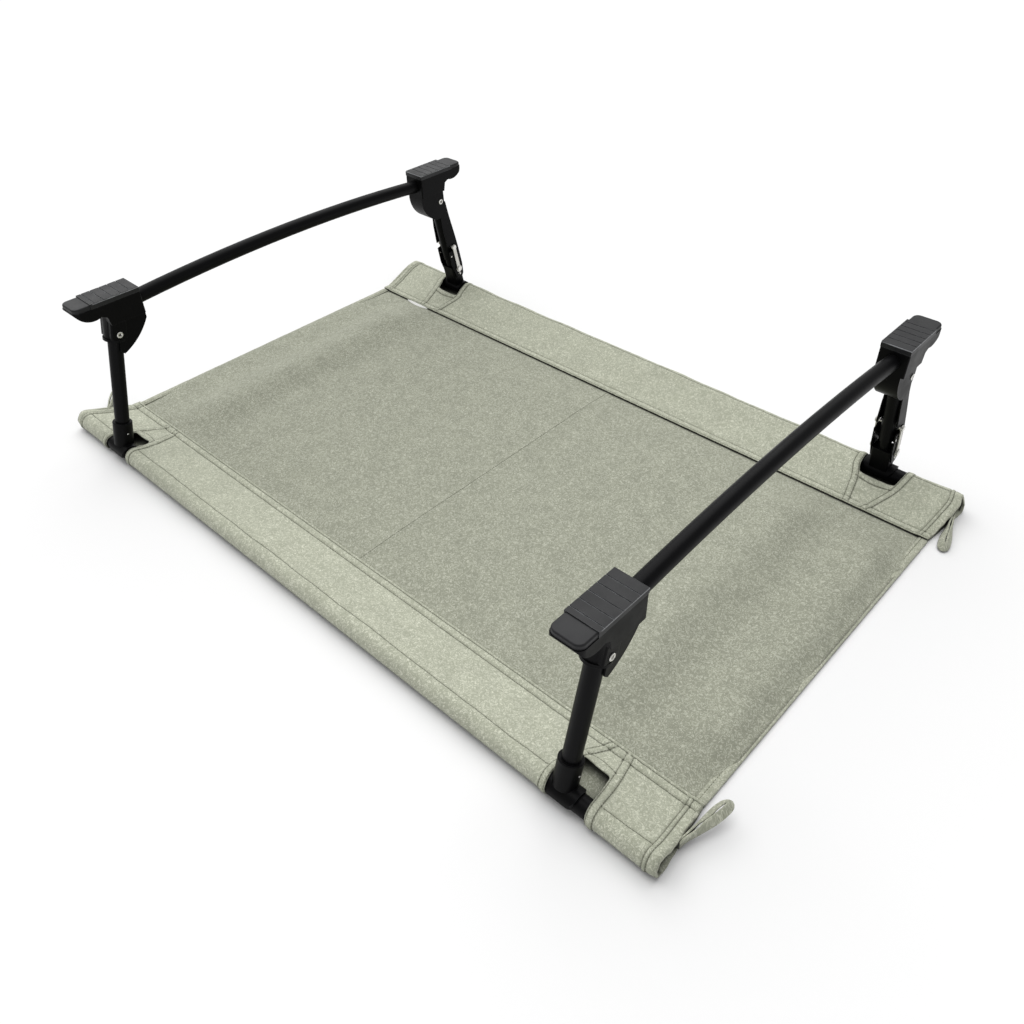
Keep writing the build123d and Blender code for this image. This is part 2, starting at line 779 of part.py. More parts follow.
def make_lever_hardware(end_name, x, side):
    """Pins, rivets and studs of one lever."""
    plane = leg_side_plane(x, side)
    cheek_in = lever_half_low - lever_wall
    with BuildPart() as lever_pin:
        with BuildSketch(plane):
            with Locations((lever_pin_at, lever_line)):
                Circle(lever_pin_d / 2)
        extrude(amount=lever_half_low + head_gap, both=True)
    keep(lever_pin.part, f"{end_name}_lever_pin")

    with BuildPart() as rivets:
        for face in (-1, 1):
            with BuildSketch(plane.offset(face * cheek_in)):
                with Locations((link_rivet_at, lever_line)):
                    Circle(link_rivet_d / 2)
            extrude(amount=face * (head_in + pin_head - cheek_in))
            with BuildSketch(plane.offset(face * head_in)):
                with Locations((link_rivet_at, lever_line)):
                    Circle(link_rivet_head_d / 2)
            extrude(amount=face * pin_head)
    keep(rivets.part, f"{end_name}_lever_rivets")

    with BuildPart() as studs:
        for face in (-1, 1):
            with BuildSketch(plane.offset(face * cheek_in)):
                with Locations((lever_pin_at - stud_above_pin, stud_line)):
                    Circle(stud_d / 2)
            extrude(amount=face * (lever_wall + stud_proud))
    keep(studs.part, f"{end_name}_lever_studs")

    with BuildPart() as link_pin:
        with BuildSketch(plane):
            with Locations((link_pin_at, lever_line)):
                Circle(link_pin_d / 2)
        extrude(amount=head_in + pin_head, both=True)
        for face in (-1, 1):
            with BuildSketch(plane.offset(face * head_in)):
                with Locations((link_pin_at, lever_line)):
                    Circle(link_pin_head_d / 2)
            extrude(amount=face * pin_head)
    keep(link_pin.part, f"{end_name}_link_pin")


def make_links(name, x, side):
    """Pair of steel links; the eye at the lever rivet is oversize on purpose."""
    middle = (link_pin_at + link_rivet_at) / 2
    eye = (link_rivet_at - 0.85, lever_line + 0.65)
    with BuildPart() as links:
        for face in (-1, 1):
            with BuildSketch(leg_side_plane(x, side).offset(face * link_in)):
                with Locations((middle, lever_line)):
                    SlotCenterToCenter(link_long, link_bar)
                with Locations((link_pin_at, lever_line)):
                    Circle(link_bar / 2 + link_eye_rim)
                with Locations((link_rivet_at, lever_line)):
                    Circle(link_lobe_d / 2)
                with Locations((link_pin_at, lever_line)):
                    Circle(link_pin_d / 2 + running, mode=Mode.SUBTRACT)
                with Locations(eye):
                    Circle(link_rivet_d / 2 + link_slack, mode=Mode.SUBTRACT)
            extrude(amount=face * link_thick)
    keep(links.part, name)


def make_far_leg(end_name, x, side):
    """Tube, telescoping clip, lever and links of the tensioning leg."""
    with BuildPart() as tube:
        add(leg_tube(x, side, lever_pin_at - far_tube_above_pin))
        hole = link_pin_d + 2 * seat
        bar = cross_bar(x, side, link_pin_at, lever_line, hole, leg_tube_d)
        add(bar, mode=Mode.SUBTRACT)
    keep(tube.part, f"{end_name}_far_leg_tube")

    block_half = lever_half_low - lever_wall - side_gap
    stem_r = leg_tube_r - leg_tube_wall - 2 * running
    with BuildPart() as clip:
        with BuildSketch(leg_plane(x, side, lever_pin_at - stem_above_pin)):
            Circle(stem_r)
        extrude(amount=stem_above_pin - web_above_pin + 1)
        with BuildSketch(leg_plane(x, side, web_end)):
            RectangleRounded(2 * block_half, block_deep, block_corner)
        extrude(amount=saddle_top + neck_sunk - web_end)
        add(make_saddle(x, side))
        add(hollow_for_pole(x, side), mode=Mode.SUBTRACT)
        hole = lever_pin_d + 2 * seat
        bar = cross_bar(x, side, lever_pin_at, lever_line, hole, collar_d)
        add(bar, mode=Mode.SUBTRACT)
    keep(clip.part, f"{end_name}_far_clip")

    make_lever(f"{end_name}_lever", x, side)
    make_lever_hardware(end_name, x, side)
    make_links(f"{end_name}_lever_links", x, side)


# ---- build everything ------------------------------------------------------
os.makedirs("parts", exist_ok=True)

make_sling()
make_blank_tag()
for row, side in SIDES.items():
    make_sleeve(f"{row}_sleeve", side)
    make_side_pole(row, side)
    for end_name, end in ENDS.items():
        if (row, end_name) != ("far", "left"):
            make_pull_loop(f"{row}_{end_name}_pull_loop", end, side)

for end_name, end in ENDS.items():
    x = end * leg_x
    make_end_hem(f"{end_name}_end_hem", end)
    make_near_hub(f"{end_name}_near_hub", x, SIDES["near"])
    make_far_hub(f"{end_name}_far_hub", x, SIDES["far"])
    for row, side in SIDES.items():
        make_sole(f"{end_name}_{row}_sole", x, side)
        make_hub_rivet(f"{end_name}_{row}_hub_rivet", x, side)
    make_bow_pole(f"{end_name}_bow_pole", x)
    make_near_leg(end_name, x, SIDES["near"])
    make_far_leg(end_name, x, SIDES["far"])
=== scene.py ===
"""Raised dog bed lying upside down on its sleeping face, clothed round its CAD frame."""

import json
from math import asin, atan2, cos, hypot, pi, radians, sin, sqrt

import bpy
import numpy as np
from mathutils import Matrix, Vector, noise
from mathutils.geometry import delaunay_2d_cdt


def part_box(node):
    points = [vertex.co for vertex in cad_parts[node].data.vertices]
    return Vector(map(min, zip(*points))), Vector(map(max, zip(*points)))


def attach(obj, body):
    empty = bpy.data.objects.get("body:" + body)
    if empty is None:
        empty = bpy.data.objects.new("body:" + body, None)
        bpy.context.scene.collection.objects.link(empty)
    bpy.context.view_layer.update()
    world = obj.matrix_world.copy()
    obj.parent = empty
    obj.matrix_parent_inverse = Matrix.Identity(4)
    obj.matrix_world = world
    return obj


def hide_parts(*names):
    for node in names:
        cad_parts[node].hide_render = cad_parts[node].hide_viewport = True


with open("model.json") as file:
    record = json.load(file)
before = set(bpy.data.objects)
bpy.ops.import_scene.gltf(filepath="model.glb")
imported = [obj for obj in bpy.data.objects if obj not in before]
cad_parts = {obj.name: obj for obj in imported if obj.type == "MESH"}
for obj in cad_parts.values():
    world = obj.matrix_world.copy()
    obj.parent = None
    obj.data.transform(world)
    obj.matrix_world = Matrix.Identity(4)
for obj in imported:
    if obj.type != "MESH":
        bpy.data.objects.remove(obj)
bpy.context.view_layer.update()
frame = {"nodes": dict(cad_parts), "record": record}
MM = 0.001

# ---- camera ----------------------------------------------------------------
# A 32 mm lens at about 41 degrees of elevation, off the near right corner.
camera_azimuth = radians(43.34)
camera_elevation = radians(40.833)
camera_roll = radians(-1.03)
camera_place = Vector((0.6043, -0.60985, 0.6685))
camera_lens = 31.907

back = Vector(
    (
        sin(camera_azimuth) * cos(camera_elevation),
        -cos(camera_azimuth) * cos(camera_elevation),
        sin(camera_elevation),
    )
)
right = Vector((cos(camera_azimuth), sin(camera_azimuth), 0))
up = back.cross(right)
across = right * cos(camera_roll) + up * sin(camera_roll)
upright = up * cos(camera_roll) - right * sin(camera_roll)
camera = bpy.data.objects.new("camera", bpy.data.cameras.new("camera"))
camera.data.sensor_width = 36
camera.data.lens = camera_lens
camera.data.clip_start = 0.05
camera.matrix_world = Matrix.Translation(camera_place) @ Matrix(
    (
        (across.x, upright.x, back.x, 0),
        (across.y, upright.y, back.y, 0),
        (across.z, upright.z, back.z, 0),
        (0, 0, 0, 1),
    )
)
bpy.context.scene.collection.objects.link(camera)
bpy.context.scene.camera = camera

# ---- floor and light -------------------------------------------------------
# A plain pale floor, a faint even dome and one very wide soft light from the far left.
floor_size = 12.0
floor_drop = 0.4 * MM               # clear of the lowest cloth
floor_grey = (0.90, 0.90, 0.90, 1)
dome_strength = 0.44
key_strength = 2.55
key_spread = radians(80)
key_from = Vector((-0.50, 0.30, 1.0))
bpy.context.scene.view_settings.view_transform = "Standard"


def add_mesh(name, points, faces):
    """Make a smooth mesh object at the origin from points in metres."""
    mesh = bpy.data.meshes.new(name)
    mesh.from_pydata([tuple(p) for p in points], [], [tuple(f) for f in faces])
    mesh.validate()
    mesh.polygons.foreach_set("use_smooth", [True] * len(mesh.polygons))
    made = bpy.data.objects.new(name, mesh)
    bpy.context.scene.collection.objects.link(made)
    return made


def new_material(name):
    """A new material, its node tree and its Principled shader."""
    made = bpy.data.materials.new(name)
    made.use_nodes = True
    tree = made.node_tree
    return made, tree, tree.nodes["Principled BSDF"]


half = floor_size / 2
floor = add_mesh(
    "floor",
    [(x, y, -floor_drop) for x, y in ((-half, -half), (half, -half), (half, half), (-half, half))],
    [(0, 1, 2, 3)],
)
floor_paint, tree, shader = new_material("floor_paint")
shader.inputs["Base Color"].default_value = floor_grey
shader.inputs["Roughness"].default_value = 1.0
shader.inputs["Specular IOR Level"].default_value = 0.0
floor.data.materials.append(floor_paint)

world = bpy.data.worlds.new("dome")
world.use_nodes = True
world.node_tree.nodes["Background"].inputs["Color"].default_value = (1, 1, 1, 1)
world.node_tree.nodes["Background"].inputs["Strength"].default_value = dome_strength
bpy.context.scene.world = world

key = bpy.data.objects.new("key_light", bpy.data.lights.new("key_light", "SUN"))
key.data.energy = key_strength
key.data.angle = key_spread
key.rotation_euler = key_from.to_track_quat("Z", "Y").to_euler()
bpy.context.scene.collection.objects.link(key)

# ---- woven polyester -------------------------------------------------------
# The deck cloth is a plain weave of sage yarns with pale fibres that curl through it.
# One node group makes its colour and its relief from the cloth's own flat coordinates.


def node(tree, kind, **settings):
    """Add a node and set its properties and unlinked inputs."""
    made = tree.nodes.new(kind)
    for key, value in settings.items():
        if key.startswith("in_"):
            made.inputs[key[3:]].default_value = value
        else:
            setattr(made, key, value)
    return made


def math_node(tree, operation, first, second=None):
    """Add a Math node; each operand is a number or an output socket."""
    made = tree.nodes.new("ShaderNodeMath")
    made.operation = operation
    for slot, operand in enumerate((first, second)):
        if operand is None:
            continue
        if isinstance(operand, (int, float)):
            made.inputs[slot].default_value = operand
        else:
            tree.links.new(operand, made.inputs[slot])
    return made.outputs[0]


def remap(tree, value, low, high, to_low, to_high):
    """Smooth step of a value between two levels."""
    made = tree.nodes.new("ShaderNodeMapRange")
    made.interpolation_type = "SMOOTHSTEP"
    tree.links.new(value, made.inputs["Value"])
    for name, number in zip(("From Min", "From Max", "To Min", "To Max"), (low, high, to_low, to_high)):
        made.inputs[name].default_value = number
    return made.outputs["Result"]


def mix_colour(tree, factor, first, second):
    """Mix two colours, each a socket or a value."""
    made = tree.nodes.new("ShaderNodeMix")
    made.data_type = "RGBA"
    for slot, operand in ((0, factor), (6, first), (7, second)):
        if hasattr(operand, "links"):
            tree.links.new(operand, made.inputs[slot])
        else:
            made.inputs[slot].default_value = operand
    return made.outputs[2]


def noise_value(tree, vector, scale, detail=2.0, rough=0.5, distortion=0.0):
    """Noise texture read at `vector`."""
    made = tree.nodes.new("ShaderNodeTexNoise")
    tree.links.new(vector, made.inputs["Vector"])
    made.inputs["Scale"].default_value = scale
    made.inputs["Detail"].default_value = detail
    made.inputs["Roughness"].default_value = rough
    made.inputs["Distortion"].default_value = distortion
    return made.outputs["Fac"]


def make_group(name, inputs, outputs):
    """Empty shader group with its named sockets; returns tree, input and output nodes."""
    tree = bpy.data.node_groups.new(name, "ShaderNodeTree")
    for label, kind, value in inputs:
        socket = tree.interface.new_socket(label, in_out="INPUT", socket_type=kind)
        if value is not None:
            socket.default_value = value
    for label, kind in outputs:
        tree.interface.new_socket(label, in_out="OUTPUT", socket_type=kind)
    return tree, tree.nodes.new("NodeGroupInput"), tree.nodes.new("NodeGroupOutput")


yarn_pitch = 0.9 * MM
wave_period = 0.3142                # of the wave texture at scale 1
curl_scale = 235.0                  # cells per metre of the noise that the fibres follow
curl_folds = 4.2                    # contour lines of that noise that become fibres
shade_share = 0.40
fibre_share = 0.62
weave_group, group_in, group_out = make_group(
    "melange_weave",
    [
        ("Vector", "NodeSocketVector", None),
        ("Ground", "NodeSocketColor", (0.4, 0.41, 0.33, 1)),
        ("Fibre", "NodeSocketColor", (0.6, 0.61, 0.5, 1)),
        ("Shade", "NodeSocketColor", (0.25, 0.26, 0.2, 1)),
    ],
    [("Color", "NodeSocketColor"), ("Height", "NodeSocketFloat")],
)
place = group_in.outputs["Vector"]
field = noise_value(weave_group, place, curl_scale, 2.0, 0.5, 1.0)
folded = math_node(weave_group, "FRACT", math_node(weave_group, "MULTIPLY", field, curl_folds))
ridge = math_node(weave_group, "ABSOLUTE", math_node(weave_group, "SUBTRACT", folded, 0.5))
curl = remap(weave_group, ridge, 0.02, 0.20, 1.0, 0.0)
gaps = remap(weave_group, noise_value(weave_group, place, 260.0, 1.0), 0.38, 0.55, 0.65, 1.0)
curl = math_node(weave_group, "MULTIPLY", curl, gaps)
trough = remap(weave_group, ridge, 0.28, 0.5, 0.0, 1.0)
grain = noise_value(weave_group, place, 1500.0, 2.0, 0.7)
mottle = noise_value(weave_group, place, 38.0, 2.0, 0.5)
waves = []
for direction in ("X", "Y"):
    wave = node(weave_group, "ShaderNodeTexWave", bands_direction=direction)
    wave.inputs["Scale"].default_value = wave_period / yarn_pitch
    wave.inputs["Distortion"].default_value = 1.2
    wave.inputs["Detail"].default_value = 1.0
    weave_group.links.new(place, wave.inputs["Vector"])
    waves.append(wave.outputs["Fac"])
weave = math_node(weave_group, "MULTIPLY", waves[0], waves[1])
colour = mix_colour(
    weave_group, remap(weave_group, grain, 0.3, 0.7, 0.0, 0.6), group_in.outputs["Ground"],
    group_in.outputs["Shade"],
)
shade_part = math_node(weave_group, "MULTIPLY", trough, shade_share)
colour = mix_colour(weave_group, shade_part, colour, group_in.outputs["Shade"])
fibre_part = math_node(weave_group, "MULTIPLY", curl, fibre_share)
colour = mix_colour(weave_group, fibre_part, colour, group_in.outputs["Fibre"])
tone = remap(weave_group, mottle, 0.3, 0.7, 0.96, 1.04)
tinted = node(weave_group, "ShaderNodeVectorMath", operation="SCALE")
weave_group.links.new(colour, tinted.inputs[0])
weave_group.links.new(tone, tinted.inputs["Scale"])
weave_group.links.new(tinted.outputs[0], group_out.inputs["Color"])
relief = math_node(weave_group, "MULTIPLY", weave, 0.45)
relief = math_node(weave_group, "ADD", relief, math_node(weave_group, "MULTIPLY", grain, 0.4))
relief = math_node(weave_group, "ADD", relief, math_node(weave_group, "MULTIPLY", curl, 0.35))
weave_group.links.new(relief, group_out.inputs["Height"])


groove_shade_share = 0.62                   # how far painted shade in the stitched grooves darkens the cloth
groove_shade_tone = 0.30
nook_reach = 35 * MM                # painted shade darkens the cloth under the rolls and flaps
nook_light = 0.10


def woven_cloth(name, ground, fibre, shade, bump=0.35):
    """Matt woven cloth on the piece's own flat coordinates, with painted shade in its seams and nooks."""
    made, tree, shader = new_material(name)
    flat = node(tree, "ShaderNodeUVMap", uv_map="flat")
    weave = node(tree, "ShaderNodeGroup", node_tree=weave_group)
    tree.links.new(flat.outputs["UV"], weave.inputs["Vector"])
    for label, value in (("Ground", ground), ("Fibre", fibre), ("Shade", shade)):
        weave.inputs[label].default_value = (*value, 1)
    relief = node(tree, "ShaderNodeBump", in_Strength=bump, in_Distance=0.0004)
    tree.links.new(weave.outputs["Height"], relief.inputs["Height"])
    # Painted shade: the groove attribute darkens the cloth along its stitched grooves.
    groove = node(tree, "ShaderNodeAttribute", attribute_name="groove")
    groove_shade = math_node(tree, "MULTIPLY", groove.outputs["Fac"], groove_shade_share)
    dark = (*(c * groove_shade_tone for c in shade), 1)
    groove_shaded = mix_colour(tree, groove_shade, weave.outputs["Color"], dark)
    # Painted shade: ambient occlusion darkens the cloth's colour in nooks, under rolls and flaps.
    nook = node(tree, "ShaderNodeAmbientOcclusion", samples=8, in_Distance=nook_reach)
    light = remap(tree, nook.outputs["AO"], 0.12, 0.85, nook_light, 1.0)
    painted_shade_colour = node(tree, "ShaderNodeVectorMath", operation="SCALE")
    tree.links.new(groove_shaded, painted_shade_colour.inputs[0])
    tree.links.new(light, painted_shade_colour.inputs["Scale"])
    tree.links.new(painted_shade_colour.outputs[0], shader.inputs["Base Color"])
    tree.links.new(relief.outputs["Normal"], shader.inputs["Normal"])
    shader.inputs["Roughness"].default_value = 0.88
    shader.inputs["Specular IOR Level"].default_value = 0.25
    shader.inputs["Sheen Weight"].default_value = 0.12
    shader.inputs["Sheen Roughness"].default_value = 0.5
    return made


sleeve_cloth = woven_cloth("sleeve_cloth", (0.50, 0.515, 0.41), (0.78, 0.79, 0.66), (0.27, 0.283, 0.21))
sling_cloth = woven_cloth("sling_cloth", (0.375, 0.385, 0.305), (0.62, 0.63, 0.525), (0.19, 0.198, 0.15))
hem_cloth = woven_cloth("hem_cloth", (0.46, 0.472, 0.375), (0.72, 0.73, 0.61), (0.24, 0.25, 0.187), 0.5)


def lay_flat(made, flat):
    """Give each vertex its place on the uncut cloth, as the UV map that the weave reads."""
    layer = made.data.uv_layers.new(name="flat")
    corner = np.zeros(len(made.data.loops), int)
    made.data.loops.foreach_get("vertex_index", corner)
    layer.data.foreach_set("uv", np.asarray(flat)[corner].ravel())


def finish_cloth(made, material, thick, stands_for):
    """Thicken a cloth piece on the deck and hide the CAD node it replaces."""
    made.data.materials.append(material)
    wall = made.modifiers.new("cloth", "SOLIDIFY")
    wall.thickness = thick
    wall.offset = 0
    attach(made, "deck")
    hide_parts(stands_for)


# ---- thread ----------------------------------------------------------------
# Lockstitch in a dark olive polyester thread, about eight stitches to the inch.
# Geometry Nodes lay one low-poly stitch every pitch along each seam line.
stitch_pitch = 3.1 * MM
stitch_long = 2.8 * MM
thread_r = 0.36 * MM

thread, tree, shader = new_material("olive_thread")
coords = node(tree, "ShaderNodeTexCoord")
twist = noise_value(tree, coords.outputs["Object"], 2600.0, 1.0)
dye = mix_colour(tree, twist, (0.085, 0.09, 0.06, 1), (0.17, 0.175, 0.125, 1))
tree.links.new(dye, shader.inputs["Base Color"])
relief = node(tree, "ShaderNodeBump", in_Strength=0.3, in_Distance=0.0002)
tree.links.new(twist, relief.inputs["Height"])
tree.links.new(relief.outputs["Normal"], shader.inputs["Normal"])
shader.inputs["Roughness"].default_value = 0.7


def make_stitch_tree():
    """Geometry Nodes: mesh lines in, one thread stitch per pitch out."""
    tree = bpy.data.node_groups.new("lay_stitches", "GeometryNodeTree")
    tree.interface.new_socket("Geometry", in_out="INPUT", socket_type="NodeSocketGeometry")
    for label, value in (("Pitch", stitch_pitch), ("Length", stitch_long), ("Radius", thread_r)):
        socket = tree.interface.new_socket(label, in_out="INPUT", socket_type="NodeSocketFloat")
        socket.default_value = value
    tree.interface.new_socket("Thread", in_out="INPUT", socket_type="NodeSocketMaterial")
    tree.interface.new_socket("Geometry", in_out="OUTPUT", socket_type="NodeSocketGeometry")
    start, end = tree.nodes.new("NodeGroupInput"), tree.nodes.new("NodeGroupOutput")
    curve = tree.nodes.new("GeometryNodeMeshToCurve")
    spaced = tree.nodes.new("GeometryNodeResampleCurve")
    spaced.mode = "LENGTH"
    ball = tree.nodes.new("GeometryNodeMeshUVSphere")
    ball.inputs["Segments"].default_value = 6
    ball.inputs["Rings"].default_value = 4
    ball.inputs["Radius"].default_value = 1.0
    tangent = tree.nodes.new("GeometryNodeInputTangent")
    aim = tree.nodes.new("FunctionNodeAlignRotationToVector")
    aim.axis = "X"
    size = tree.nodes.new("ShaderNodeCombineXYZ")
    half_long = tree.nodes.new("ShaderNodeMath")
    half_long.operation = "MULTIPLY"
    half_long.inputs[1].default_value = 0.5
    place = tree.nodes.new("GeometryNodeInstanceOnPoints")
    solid = tree.nodes.new("GeometryNodeRealizeInstances")
    smooth = tree.nodes.new("GeometryNodeSetShadeSmooth")
    dyed = tree.nodes.new("GeometryNodeSetMaterial")
    link = tree.links.new
    link(start.outputs["Geometry"], curve.inputs["Mesh"])
    link(curve.outputs["Curve"], spaced.inputs["Curve"])
    link(start.outputs["Pitch"], spaced.inputs["Length"])
    link(spaced.outputs["Curve"], place.inputs["Points"])
    link(ball.outputs["Mesh"], place.inputs["Instance"])
    link(tangent.outputs["Tangent"], aim.inputs["Vector"])
    link(aim.outputs["Rotation"], place.inputs["Rotation"])
    link(start.outputs["Length"], half_long.inputs[0])
    link(half_long.outputs[0], size.inputs["X"])
    link(start.outputs["Radius"], size.inputs["Y"])
    link(start.outputs["Radius"], size.inputs["Z"])
    link(size.outputs[0], place.inputs["Scale"])
    link(place.outputs["Instances"], solid.inputs["Geometry"])
    link(solid.outputs["Geometry"], smooth.inputs["Geometry"])
    link(smooth.outputs["Geometry"], dyed.inputs["Geometry"])
    link(start.outputs["Thread"], dyed.inputs["Material"])
    link(dyed.outputs["Geometry"], end.inputs["Geometry"])
    return tree


stitch_tree = make_stitch_tree()


def sew(name, lines):
    """Bake stitches along lines of points into one plain mesh on the deck."""
    points, edges = [], []
    for line in lines:
        first = len(points)
        points += [tuple(p) for p in line]
        edges += [(first + i, first + i + 1) for i in range(len(line) - 1)]
    mesh = bpy.data.meshes.new(name + "_path")
    mesh.from_pydata(points, edges, [])
    path = bpy.data.objects.new(name + "_path", mesh)
    bpy.context.scene.collection.objects.link(path)
    modifier = path.modifiers.new("stitches", "NODES")
    modifier.node_group = stitch_tree
    for item in stitch_tree.interface.items_tree:
        if item.item_type == "SOCKET" and item.in_out == "INPUT" and item.name == "Thread":
            modifier[item.identifier] = thread
    bpy.context.view_layer.update()
    ready = path.evaluated_get(bpy.context.evaluated_depsgraph_get())
    made = bpy.data.objects.new(name, bpy.data.meshes.new_from_object(ready))
    bpy.context.scene.collection.objects.link(made)
    bpy.data.objects.remove(path)
    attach(made, "deck")
    return made


# ---- sleeves ---------------------------------------------------------------
# Each long edge of the cloth is folded round its side pole and stitched down twice.
# Doubled hems run up both sides of each leg cut-out to the seam, and round its top.
cloth_thick = 1.25 * MM
deck_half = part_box("sling_panel")[1].x
seam_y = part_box("sling_panel")[1].y
sleeve_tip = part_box("near_sleeve")[1].x
leg_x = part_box("right_lever_pin")[0].x / 2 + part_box("right_lever_pin")[1].x / 2
pole_low, pole_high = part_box("far_pole_middle_section")
saddle_low, saddle_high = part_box("right_near_clip")
pole_y = (pole_low.y + pole_high.y) / 2
pole_z = (pole_low.z + pole_high.z) / 2
wrap_r = (pole_high.z - pole_low.z) / 2 + 1.0 * MM
saddle_half = (saddle_high.x - saddle_low.x) / 2
lap = 3.0 * MM                      # the folded edge covers the sling a little
strip = 8.0 * MM                    # the two seam lines lie this far apart
lower_z = 0.70 * MM
upper_z = 2.12 * MM
band_half = 4.4 * MM                # doubled hems beside the cut-outs
band_proud = 0.95 * MM
hem_depth = 12.5 * MM               # turned end of the sleeve
seam_puff = 0.45 * MM               # the cloth swells between its two seam lines
seam_dip = 0.6 * MM                 # it dips along each stitched line and rises beside it
seam_rise = 0.25 * MM
slack_lift = 1.3 * MM
pucker_lift = 0.55 * MM
roll_in = 2.2 * MM                  # the open ends draw in round the pole
saddle_lift = 2.7 * MM              # a clip's saddle lies under the cloth
seam_inset = 0.5 * MM
turned_rows = (0.2 * MM, -3.6 * MM) # stitch rows of a turned end, counted from its depth
thread_proud = 0.12 * MM
rim_half_wide, rim_half_tall = 1.7 * MM, 1.45 * MM

# Spacing of the mesh: how far apart its points lie, and how much room they keep.
grid_along = 5 * MM
grid_flat, grid_round, grid_under = 4.5 * MM, 2 * MM, 11 * MM
grid_room = 3.4 * MM
edge_room = 1.1 * MM
point_room = 0.8 * MM
beside_seam = (-2.4, -1.1, 0, 1.1, 2.4)
beside_hem = (-5.6, -4.4, -3.1, 0, 3.1, 4.4, 5.6)
end_round = {"near": 2.0 * MM, "far": 6.5 * MM}   # the end draws back round the pole

flat_run = lap + strip
reach, climb = pole_y - seam_y - strip, pole_z - upper_z
span = hypot(reach, climb)
rise = atan2(climb, reach) + asin(wrap_r / span)
slope_run = sqrt(span**2 - wrap_r**2)
arc_run = wrap_r * (pi + rise)
under_run = pole_y - seam_y
section_run = flat_run + slope_run + arc_run + under_run
crown_run = flat_run + slope_run + wrap_r * rise
low_run = crown_run + wrap_r * radians(150)


def section_place(s):
    """Distance out, height and outward normal of the cloth at arc length s."""
    s = np.asarray(s, float)
    a, b, c = flat_run, flat_run + slope_run, flat_run + slope_run + arc_run
    turn = pi / 2 + rise - np.clip((s - b) / wrap_r, 0, pi + rise)
    where = [s < a, s < b, s < c]
    u = np.select(
        where,
        [seam_y - lap + s, seam_y + strip + (s - a) * cos(rise), pole_y + wrap_r * np.cos(turn)],
        pole_y - (s - c),
    )
    z = np.select(
        where,
        [np.full_like(s, upper_z), upper_z + (s - a) * sin(rise), pole_z + wrap_r * np.sin(turn)],
        pole_z - wrap_r,
    )
    nu = np.select(where, [np.zeros_like(s), np.full_like(s, -sin(rise)), np.cos(turn)], 0.0)
    nz = np.select(where, [np.ones_like(s), np.full_like(s, cos(rise)), np.sin(turn)], -1.0)
    return u, z, nu, nz


def run_at(u):
    """Arc length of the upper layer at distance u from the bed's middle line."""
    steps = np.linspace(0, crown_run + wrap_r * pi / 2, 500)
    return float(np.interp(u, section_place(steps)[0], steps))


def end_at(s, row):
    """Half length of the sleeve at arc length s: it runs out past the hem."""
    s = np.asarray(s, float)
    out = np.clip((section_place(s)[0] - seam_y) / (pole_y + wrap_r - seam_y), 0, 1)
    drawn = end_round[row] * np.exp(-(((s - crown_run - 7 * MM) / (14 * MM)) ** 2))
    return deck_half + (sleeve_tip - deck_half) * out - drawn


def spread(line, step):
    """Points every `step` along a line of points, ends kept."""
    line = np.asarray(line, float)
    at = np.concatenate([[0], np.cumsum(np.hypot(*np.diff(line, axis=0).T))])
    ticks = np.linspace(0, at[-1], max(2, int(round(at[-1] / step)) + 1))
    return np.stack([np.interp(ticks, at, line[:, 0]), np.interp(ticks, at, line[:, 1])], 1)


def smooth_line(points, step):
    """Catmull-Rom curve through a few points, then evenly spaced."""
    points = np.asarray(points, float)
    padded = np.vstack([2 * points[0] - points[1], points, 2 * points[-1] - points[-2]])
    curve = []
    for i in range(1, len(padded) - 2):
        p0, p1, p2, p3 = padded[i - 1 : i + 3]
        for t in np.linspace(0, 1, 12, endpoint=False):
            bend = (2 * p0 - 5 * p1 + 4 * p2 - p3) * t**2 + (3 * p1 - p0 - 3 * p2 + p3) * t**3
            curve.append(0.5 * (2 * p1 + (p2 - p0) * t + bend))
    curve.append(points[-1])
    return spread(curve, step)


def distance_to(points, line):
    """Shortest distance from each point to a line of points."""
    best = np.full(len(points), 9.0)
    for p, q in zip(line[:-1], line[1:]):
        d = q - p
        t = np.clip(((points - p) @ d) / max(d @ d, 1e-12), 0, 1)
        best = np.minimum(best, np.hypot(*(points - p - t[:, None] * d).T))
    return best


def inside(points, outline):
    """Which points lie inside a closed outline."""
    x, y = points.T
    hit = np.zeros(len(points), bool)
    for (x0, y0), (x1, y1) in zip(outline, np.roll(outline, -1, axis=0)):
        crosses = (y0 > y) != (y1 > y)
        with np.errstate(divide="ignore", invalid="ignore"):
            hit ^= crosses & (x < (x1 - x0) * (y - y0) / (y1 - y0) + x0)
    return hit


def soft_step(value):
    """Smooth ramp from 0 to 1."""
    value = np.clip(value, 0, 1)
    return value * value * (3 - 2 * value)


# Each cut-out: how far out its top edge lies, then its hems across from the leg's line
# at four distances out, all in mm.  The hems are given as the outer and inner edge of
# the left one, then the inner and outer edge of the right one.
hem_stations = (294, 272, 252, 217)
cutout_hems = {
    ("near", -1): (257, (-35, -29, -24, -16), (-26, -19, -16, -9), (21, 19, 12, 1), (30, 28, 23, 9)),
    ("near", 1): (247, (-18, -21, -18, -4), (-10, -14, -9, 5), (30, 26, 22, 13), (39, 35, 32, 23)),
    ("far", -1): (256, (-28, -27, -21, -12), (-19, -17, -10, -3), (20, 22, 26, 16), (29, 31, 35, 26)),
    ("far", 1): (259, (-29, -28, -20, -11), (-20, -19, -10, -2), (31, 29, 25, 11), (40, 38, 34, 20)),
}


def hem_line(axis, offsets, step=2.0 * MM):
    """Flat line up the side of a cut-out, from under the roll to the seam."""
    line = [(axis + offsets[0] * MM, low_run)]
    line += [(axis + o * MM, run_at(u * MM)) for o, u in zip(offsets, hem_stations)]
    return smooth_line(line, step)


def between(first, second, share):
    """Offsets part of the way from one hem edge to the other."""
    return [a + (b - a) * share for a, b in zip(first, second)]


